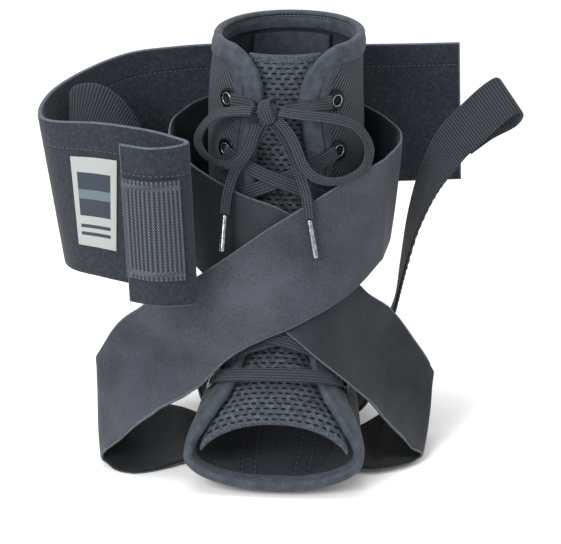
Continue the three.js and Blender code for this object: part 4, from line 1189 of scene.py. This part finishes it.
def cuff():
    end = len(CUFF_STATIONS) - 1
    rows = spread(300, wall=CUFF_WALL, width=460)
    cols = spread(60, wall=CUFF_WALL, width=85)
    mid, normals = cuff_patch((0, end, 0, 1), rows, cols, CUFF_WALL / 2)
    obj = slab("cuff_cloth", mid, normals, CUFF_WALL, [FUZZ, FOAM_EDGE], rim=0.6)
    dress(obj, "cuff", "cuff")

    mid, normals = cuff_patch(PATCH_SPAN, spread(150, wall=PATCH_WALL, width=34),
                              spread(50, wall=PATCH_WALL, width=54), -CLOTH_GAP - PATCH_WALL / 2)
    normals = -normals
    flat = arc_uv(mid)
    flat = flat - np.array((flat[-1, 0, 0], 0.0))
    inside = np.abs(((flat[..., 0] / PATCH_RIB + 100) % 1) - 0.5)
    rise = np.clip(PATCH_BAND - np.abs(flat[..., 1]), 0, 1)
    relief = (0.5 - inside) * 1.1 * rise
    obj = slab("knit_patch", mid, normals, PATCH_WALL, [KNIT], relief=relief, uv=flat)
    dress(obj, "webbing", "cuff_ribbed_patch")

    mid, normals = cuff_patch(LABEL_SPAN, spread(50, wall=LABEL_WALL, width=24),
                              spread(60, wall=LABEL_WALL, width=50), CUFF_WALL + GAP + LABEL_WALL / 2)
    flat = arc_uv(mid)
    flat = flat - np.array((flat[-1, 0, 0] / 2, 0.0))
    obj = slab("woven_label", mid, normals, LABEL_WALL, [LABEL], uv=flat)
    dress(obj, "label", "cuff_label")


# Lacing


def lace_between(name, node, start, end, seat):
    share = np.linspace(0, 1, 60)
    level = start[0] + (end[0] - start[0]) * share
    turn = start[1] + (end[1] - start[1]) * share
    centre = off_surface(level, turn, seat + LACE_WALL / 2 + 0 * share)
    along = unit(np.gradient(centre, axis=0))
    normal = surface_normal(level, turn)
    dress(lace_strip(name, centre, unit(np.cross(normal, along)), normal), "lace", node)


def lace_strip(name, centre, side, look, width=LACE_WIDTH):
    """Flat lace along its middle line, with the ways across it and out of it at each point."""
    widths = np.broadcast_to(width, len(centre))
    cols = spread(14, wall=LACE_WALL, width=widths[0]) - 0.5
    mid = centre[:, None] + side[:, None] * cols[None, :, None] * widths[:, None, None]
    return slab(name, mid, np.broadcast_to(look[:, None], mid.shape), LACE_WALL, [LACE])


def beside(row, sign):
    return row[0], sign * (row[1] - LACE_INSET)


def lacing():
    lowest = EYELET_ROWS[-1]
    lace_between("lace_bottom", "lace_bar", beside(lowest, 1), beside(lowest, -1), LACE_SEAT)
    for i, (upper, lower) in enumerate(CROSSINGS):
        high, low = EYELET_ROWS[upper], EYELET_ROWS[lower]
        if low is lowest:
            spots = [(low[0] - LAST_CROSSING_RISE, sign * low[1]) for sign in (1, -1)]
        else:
            spots = [beside(low, 1), beside(low, -1)]
        lace_between(f"lace_rising_{i + 1}", f"lace_under_{i + 1}", spots[0], beside(high, -1), LACE_SEAT)
        lace_between(f"lace_falling_{i + 1}", f"lace_over_{i + 1}", beside(high, 1), spots[1], CROSS_SEAT)


def lathe(name, profile, sides, origin, axis, materials, closed=False):
    """Round piece about an axis, from a profile of (radius, height) in millimetres."""
    axis = unit(np.asarray(axis, float))
    helper = np.array((0.0, 0.0, 1.0)) if abs(axis[2]) < 0.9 else np.array((1.0, 0.0, 0.0))
    first = unit(np.cross(axis, helper))
    second = np.cross(axis, first)
    angle = np.linspace(0, 2 * math.pi, sides, endpoint=False)
    around = np.cos(angle)[:, None] * first + np.sin(angle)[:, None] * second
    profile = np.asarray(profile, float)
    points = (origin + profile[:, 0][:, None, None] * around[None]
              + profile[:, 1][:, None, None] * axis[None, None])
    rows = len(profile)
    faces = []
    for r in range(rows if closed else rows - 1):
        s = (r + 1) % rows
        for c in range(sides):
            d = (c + 1) % sides
            faces.append((r * sides + c, r * sides + d, s * sides + d, s * sides + c))
    if not closed:
        faces.append(tuple(range(sides))[::-1])
        faces.append(tuple((rows - 1) * sides + c for c in range(sides)))
    steps = np.concatenate([[0], np.cumsum(np.linalg.norm(np.diff(profile, axis=0), axis=-1))])
    uvs = np.stack(np.broadcast_arrays(angle[None, :] * EYELET_RADIUS, steps[:, None]), -1).reshape(-1, 2)
    return turned_out(make_object(name, points.reshape(-1, 3), faces, uvs, materials))


GLINT_LIP_WIDTH = 0.35
GLINT_LIP_RISE = 0.3


def eyelets():
    angles = np.linspace(0, 2 * math.pi, 20, endpoint=False)
    tube = (EYELET_RADIUS - EYELET_BORE) / 2
    ring = [(EYELET_BORE + tube + tube * math.cos(a), EYELET_THICKNESS / 2 * (1 + math.sin(a)))
            for a in angles]
    lip = [(EYELET_BORE + GLINT_LIP_WIDTH * (1 + math.cos(a)),
            EYELET_THICKNESS + GLINT_LIP_RISE * (0.5 + math.sin(a))) for a in angles]
    shade_plug = [(0.02, 0.1), (EYELET_BORE + 0.1, 0.1), (EYELET_BORE + 0.1, 0.35), (0.02, 0.35)]
    for side, sign in (("left", 1), ("right", -1)):
        for i, (level, turn) in enumerate(EYELET_ROWS):
            origin = off_surface(level, sign * turn, EYELET_SEAT)
            axis = surface_normal(level, sign * turn)
            name = f"eyelet_{side}_{i + 1}"
            body = lathe(f"grommet_{side}_{i + 1}", ring, 40, origin, axis, [ENAMEL], closed=True)
            dress(body, "eyelet", name)
            # Painted highlight: a thin bright metal ring on the bore's edge stands in for the glint on
            # the black grommet's rim.
            edge = lathe(f"grommet_glint_lip_{side}_{i + 1}", lip, 40, origin, axis, [BRIGHT_METAL_AND_GLINT], closed=True)
            dress(edge, "aglet")
            # Painted shade: a near-black disc inside the bore stands in for the shade in the hole.
            hole = lathe(f"grommet_hole_shade_{side}_{i + 1}", shade_plug, 32, origin, axis, [PAINTED_SHADE])
            dress(hole, "eyelet")


def smooth_route(points, count):
    """Evenly spaced points on one smooth curve through a route."""
    route = np.array(points, float)
    at = np.linspace(0, len(route) - 1, 800)
    fine = np.stack([spline(route[:, k], at) for k in range(3)], -1)
    run = np.concatenate([[0], np.cumsum(np.linalg.norm(np.diff(fine, axis=0), axis=-1))])
    even = np.linspace(0, run[-1], count)
    return np.stack([np.interp(even, run, fine[:, k]) for k in range(3)], -1), float(run[-1])


def flat_cord(name, node, route, face, width):
    """Flat lace along a route. face gives the direction that its flat side looks at each share."""
    centre, length = smooth_route(route, 150)
    along = unit(np.gradient(centre, axis=0))
    share = np.linspace(0, 1, len(centre))
    keys = np.array([k for k, _ in face])
    looks = np.array([v for _, v in face], float)
    look = np.stack([np.interp(share, keys, looks[:, k]) for k in range(3)], -1)
    look = unit(look - along * (look * along).sum(-1, keepdims=True))
    obj = lace_strip(name, centre, np.cross(look, along), look, width)
    dress(obj, "lace", node)


def aglet(name, node, route, tip):
    end = np.array(route[-1], float)
    far = np.array(tip, float)
    along = unit(far - end)
    start = end + along * 2 * GAP
    length = float(np.linalg.norm(far - start))
    r = AGLET_DIAMETER / 2
    profile = [(0.05, 0.0), (r * 0.86, 0.0), (r, 0.4), (r, 2.0), (r * 0.86, 2.5), (r, 3.0)]
    profile += [(r, s) for s in np.linspace(3.6, length - 1.2, 8)]
    profile += [(r * 0.94, length - 0.5), (r * 0.75, length - 0.1), (0.05, length)]
    obj = lathe(name, profile, 32, start, along, [BRIGHT_METAL_AND_GLINT])
    dress(obj, "aglet", node)
    return obj


CORD_WIDTH = 6.5
END_WIDTH = CORD_WIDTH * 0.9
# Share of the cord's length, and the way that its flat side looks there
LEFT_LOOP_LOOKS = [(0, (0, -0.6, 0.8)), (0.35, (-0.6, -0.7, 0.5)), (0.6, (-0.3, -0.8, -0.6)),
                   (1, (0.3, -1, 0))]
RIGHT_LOOP_LOOKS = [(0, (0, -0.6, 0.8)), (0.4, (0.5, -0.7, 0.5)), (0.65, (0.3, -0.8, -0.6)),
                    (1, (-0.3, -1, 0))]
LEFT_END_LOOKS = [(0, (-0.3, -1, 0)), (1, (0.6, -0.9, 0))]
RIGHT_END_LOOKS = [(0, (0.5, -1, 0)), (1, (-0.2, -1, 0.1))]


def cords():
    left_tip = aglet("left_tip", "aglet_left", END_LEFT_ROUTE, AGLET_LEFT_TIP)
    right_tip = aglet("right_tip", "aglet_right", END_RIGHT_ROUTE, AGLET_RIGHT_TIP)
    flat_cord("left_loop", "lace_loop_left", LOOP_LEFT_ROUTE, LEFT_LOOP_LOOKS, CORD_WIDTH)
    flat_cord("right_loop", "lace_loop_right", LOOP_RIGHT_ROUTE, RIGHT_LOOP_LOOKS, CORD_WIDTH)
    flat_cord("left_end", "lace_end_left", END_LEFT_ROUTE, LEFT_END_LOOKS, END_WIDTH)
    flat_cord("right_end", "lace_end_right", END_RIGHT_ROUTE, RIGHT_END_LOOKS, END_WIDTH)


KNOT_ROUNDNESS = 0.75
KNOT_FOLD = 0.05
KNOT_SHARE = 0.42
KNOT_RADIUS = 6
KNOT_BAND_WIDTH = 7


def knot():
    """The bow's knot: a crowned core with a flat band wound over it."""
    rows, cols = 40, 56
    lat = np.linspace(-1.45, 1.45, rows)[:, None]
    lon = np.linspace(0, 2 * math.pi, cols, endpoint=False)[None, :]
    x = np.sign(np.cos(lon)) * np.abs(np.cos(lon) * np.cos(lat)) ** KNOT_ROUNDNESS
    y = np.sign(np.sin(lon)) * np.abs(np.sin(lon) * np.cos(lat)) ** KNOT_ROUNDNESS
    z = np.sin(lat) + 0 * lon
    fold = 1 + KNOT_FOLD * np.cos(13.2 * z + 2 * lon)
    points = np.stack([x * fold, y * fold, z], -1) * KNOT_SIZE * KNOT_SHARE + KNOT_AT
    closed = np.concatenate([points, points[:, :1]], axis=1)
    run = np.linspace(0, 2 * math.pi, cols + 1)[None, :]
    uvs = np.stack(np.broadcast_arrays(run * KNOT_RADIUS, lat * KNOT_RADIUS), -1).reshape(-1, 2)
    quads = grid_quads(rows, cols + 1).tolist()
    obj = make_object("knot_core", closed.reshape(-1, 3), quads, uvs, [LACE])
    weld(obj)
    cap(obj)
    dress(turned_out(obj), "lace", "lace_knot")

    turn = np.linspace(0, 2 * math.pi, 90)
    centre = np.stack([0.35 * np.sin(turn * 2), np.cos(turn), np.sin(turn)], -1)
    centre = centre * np.array((KNOT_SIZE[0] * 0.3, KNOT_SIZE[1] * 0.47, KNOT_SIZE[2] * 0.47)) + KNOT_AT
    out = unit((centre - KNOT_AT) * np.array((0.0, 1.0, 1.0)))
    lean = unit(np.stack([1 + 0 * turn, 0.15 * np.cos(turn), 0.35 + 0 * turn], -1))
    dress(lace_strip("knot_band", centre, lean, out, KNOT_BAND_WIDTH), "lace")


def cap(obj):
    made = bmesh.new()
    made.from_mesh(obj.data)
    bmesh.ops.holes_fill(made, edges=made.edges, sides=0)
    made.to_mesh(obj.data)
    made.free()


def knot_band(name, node, sign):
    """Flat band from the top eyelet to the knot, gathered on the way."""
    level = EYELET_ROWS[0][0]
    start = off_surface(level, sign * 36.0, LACE_SEAT + GAP)
    end = KNOT_AT + np.array((-sign * (KNOT_SIZE[0] / 2 + GAP), KNOT_SIZE[1] / 4, 0))
    hump = off_surface(level, sign * 19.0, LACE_SEAT + 1)
    centre, _ = smooth_route([start, hump, end], 50)
    share = np.linspace(0, 1, 50)
    width = LACE_WIDTH * (1 - 0.35 * share ** 2)
    twist = (0.15 if sign > 0 else 0.9) * np.sin(math.pi * share)
    up = unit(np.stack([0 * share, np.sin(twist), np.cos(twist)], -1))
    look = unit(np.cross(unit(np.gradient(centre, axis=0)), up))
    centre = centre - np.array((0.0, LACE_WALL / 2, 0.0))
    dress(lace_strip(name, centre, up, look, width), "lace", node)


# Camera, floor and light


CAMERA_AZIMUTH = math.radians(4)
CAMERA_ELEVATION = math.radians(20)
CAMERA_DISTANCE = 1.1
CAMERA_LENS = 121.7
CAMERA_TARGET = (-2.5, -10, 96)
WORLD_STRENGTH = 0.85
LIGHTS = [
    ("key", (-0.45, -0.8, 0.62), 7.5, 0.45),
    ("fill", (1.3, -1.0, 0.8), 1, 1.0),
    ("top", (-0.2, 0.1, 1.5), 10, 0.7),
]
FLOOR_HALF = 8


def stage():
    azimuth, elevation = CAMERA_AZIMUTH, CAMERA_ELEVATION
    target = Vector(CAMERA_TARGET) * MM
    back = Vector((math.sin(azimuth) * math.cos(elevation), -math.cos(azimuth) * math.cos(elevation),
                   math.sin(elevation)))
    data = bpy.data.cameras.new("camera")
    data.sensor_width = 36
    data.lens = CAMERA_LENS
    data.clip_start = 0.05
    data.clip_end = 60
    camera = bpy.data.objects.new("camera", data)
    camera.location = target + back * CAMERA_DISTANCE
    camera.rotation_euler = (-back).to_track_quat("-Z", "Y").to_euler()
    bpy.context.collection.objects.link(camera)
    bpy.context.scene.camera = camera

    world = bpy.data.worlds.new("studio")
    world.use_nodes = True
    world.node_tree.nodes["Background"].inputs["Color"].default_value = (1, 1, 1, 1)
    world.node_tree.nodes["Background"].inputs["Strength"].default_value = WORLD_STRENGTH
    bpy.context.scene.world = world
    bpy.context.scene.view_settings.view_transform = "Standard"

    for name, place, power, size in LIGHTS:
        lamp = bpy.data.lights.new(name, "AREA")
        lamp.energy = power
        lamp.size = size
        obj = bpy.data.objects.new(name, lamp)
        obj.location = place
        obj.rotation_euler = (Vector((0, 0, 0.1)) - obj.location).to_track_quat("-Z", "Y").to_euler()
        bpy.context.collection.objects.link(obj)

    paper = bpy.data.materials.new("paper")
    paper.use_nodes = True
    shader = paper.node_tree.nodes["Principled BSDF"]
    shader.inputs["Base Color"].default_value = (1, 1, 1, 1)
    shader.inputs["Roughness"].default_value = 0.9
    mesh = bpy.data.meshes.new("floor")
    corners = [(x * FLOOR_HALF, y * FLOOR_HALF, 0) for x, y in ((-1, -1), (1, -1), (1, 1), (-1, 1))]
    mesh.from_pydata(corners, [], [(0, 1, 2, 3)])
    mesh.materials.append(paper)
    floor = bpy.data.objects.new("floor", mesh)
    bpy.context.collection.objects.link(floor)


stage()
cords()
boot()
binding()
placket("left_placket", 1)
placket("right_placket", -1)
tongue()
lining()
upper_grid, lower_grid = straps()
pulls(upper_grid, lower_grid)
cuff()
lacing()
eyelets()
knot()
knot_band("lace_gathered", "lace_top_left", 1)
knot_band("lace_twisted", "lace_top_right", -1)
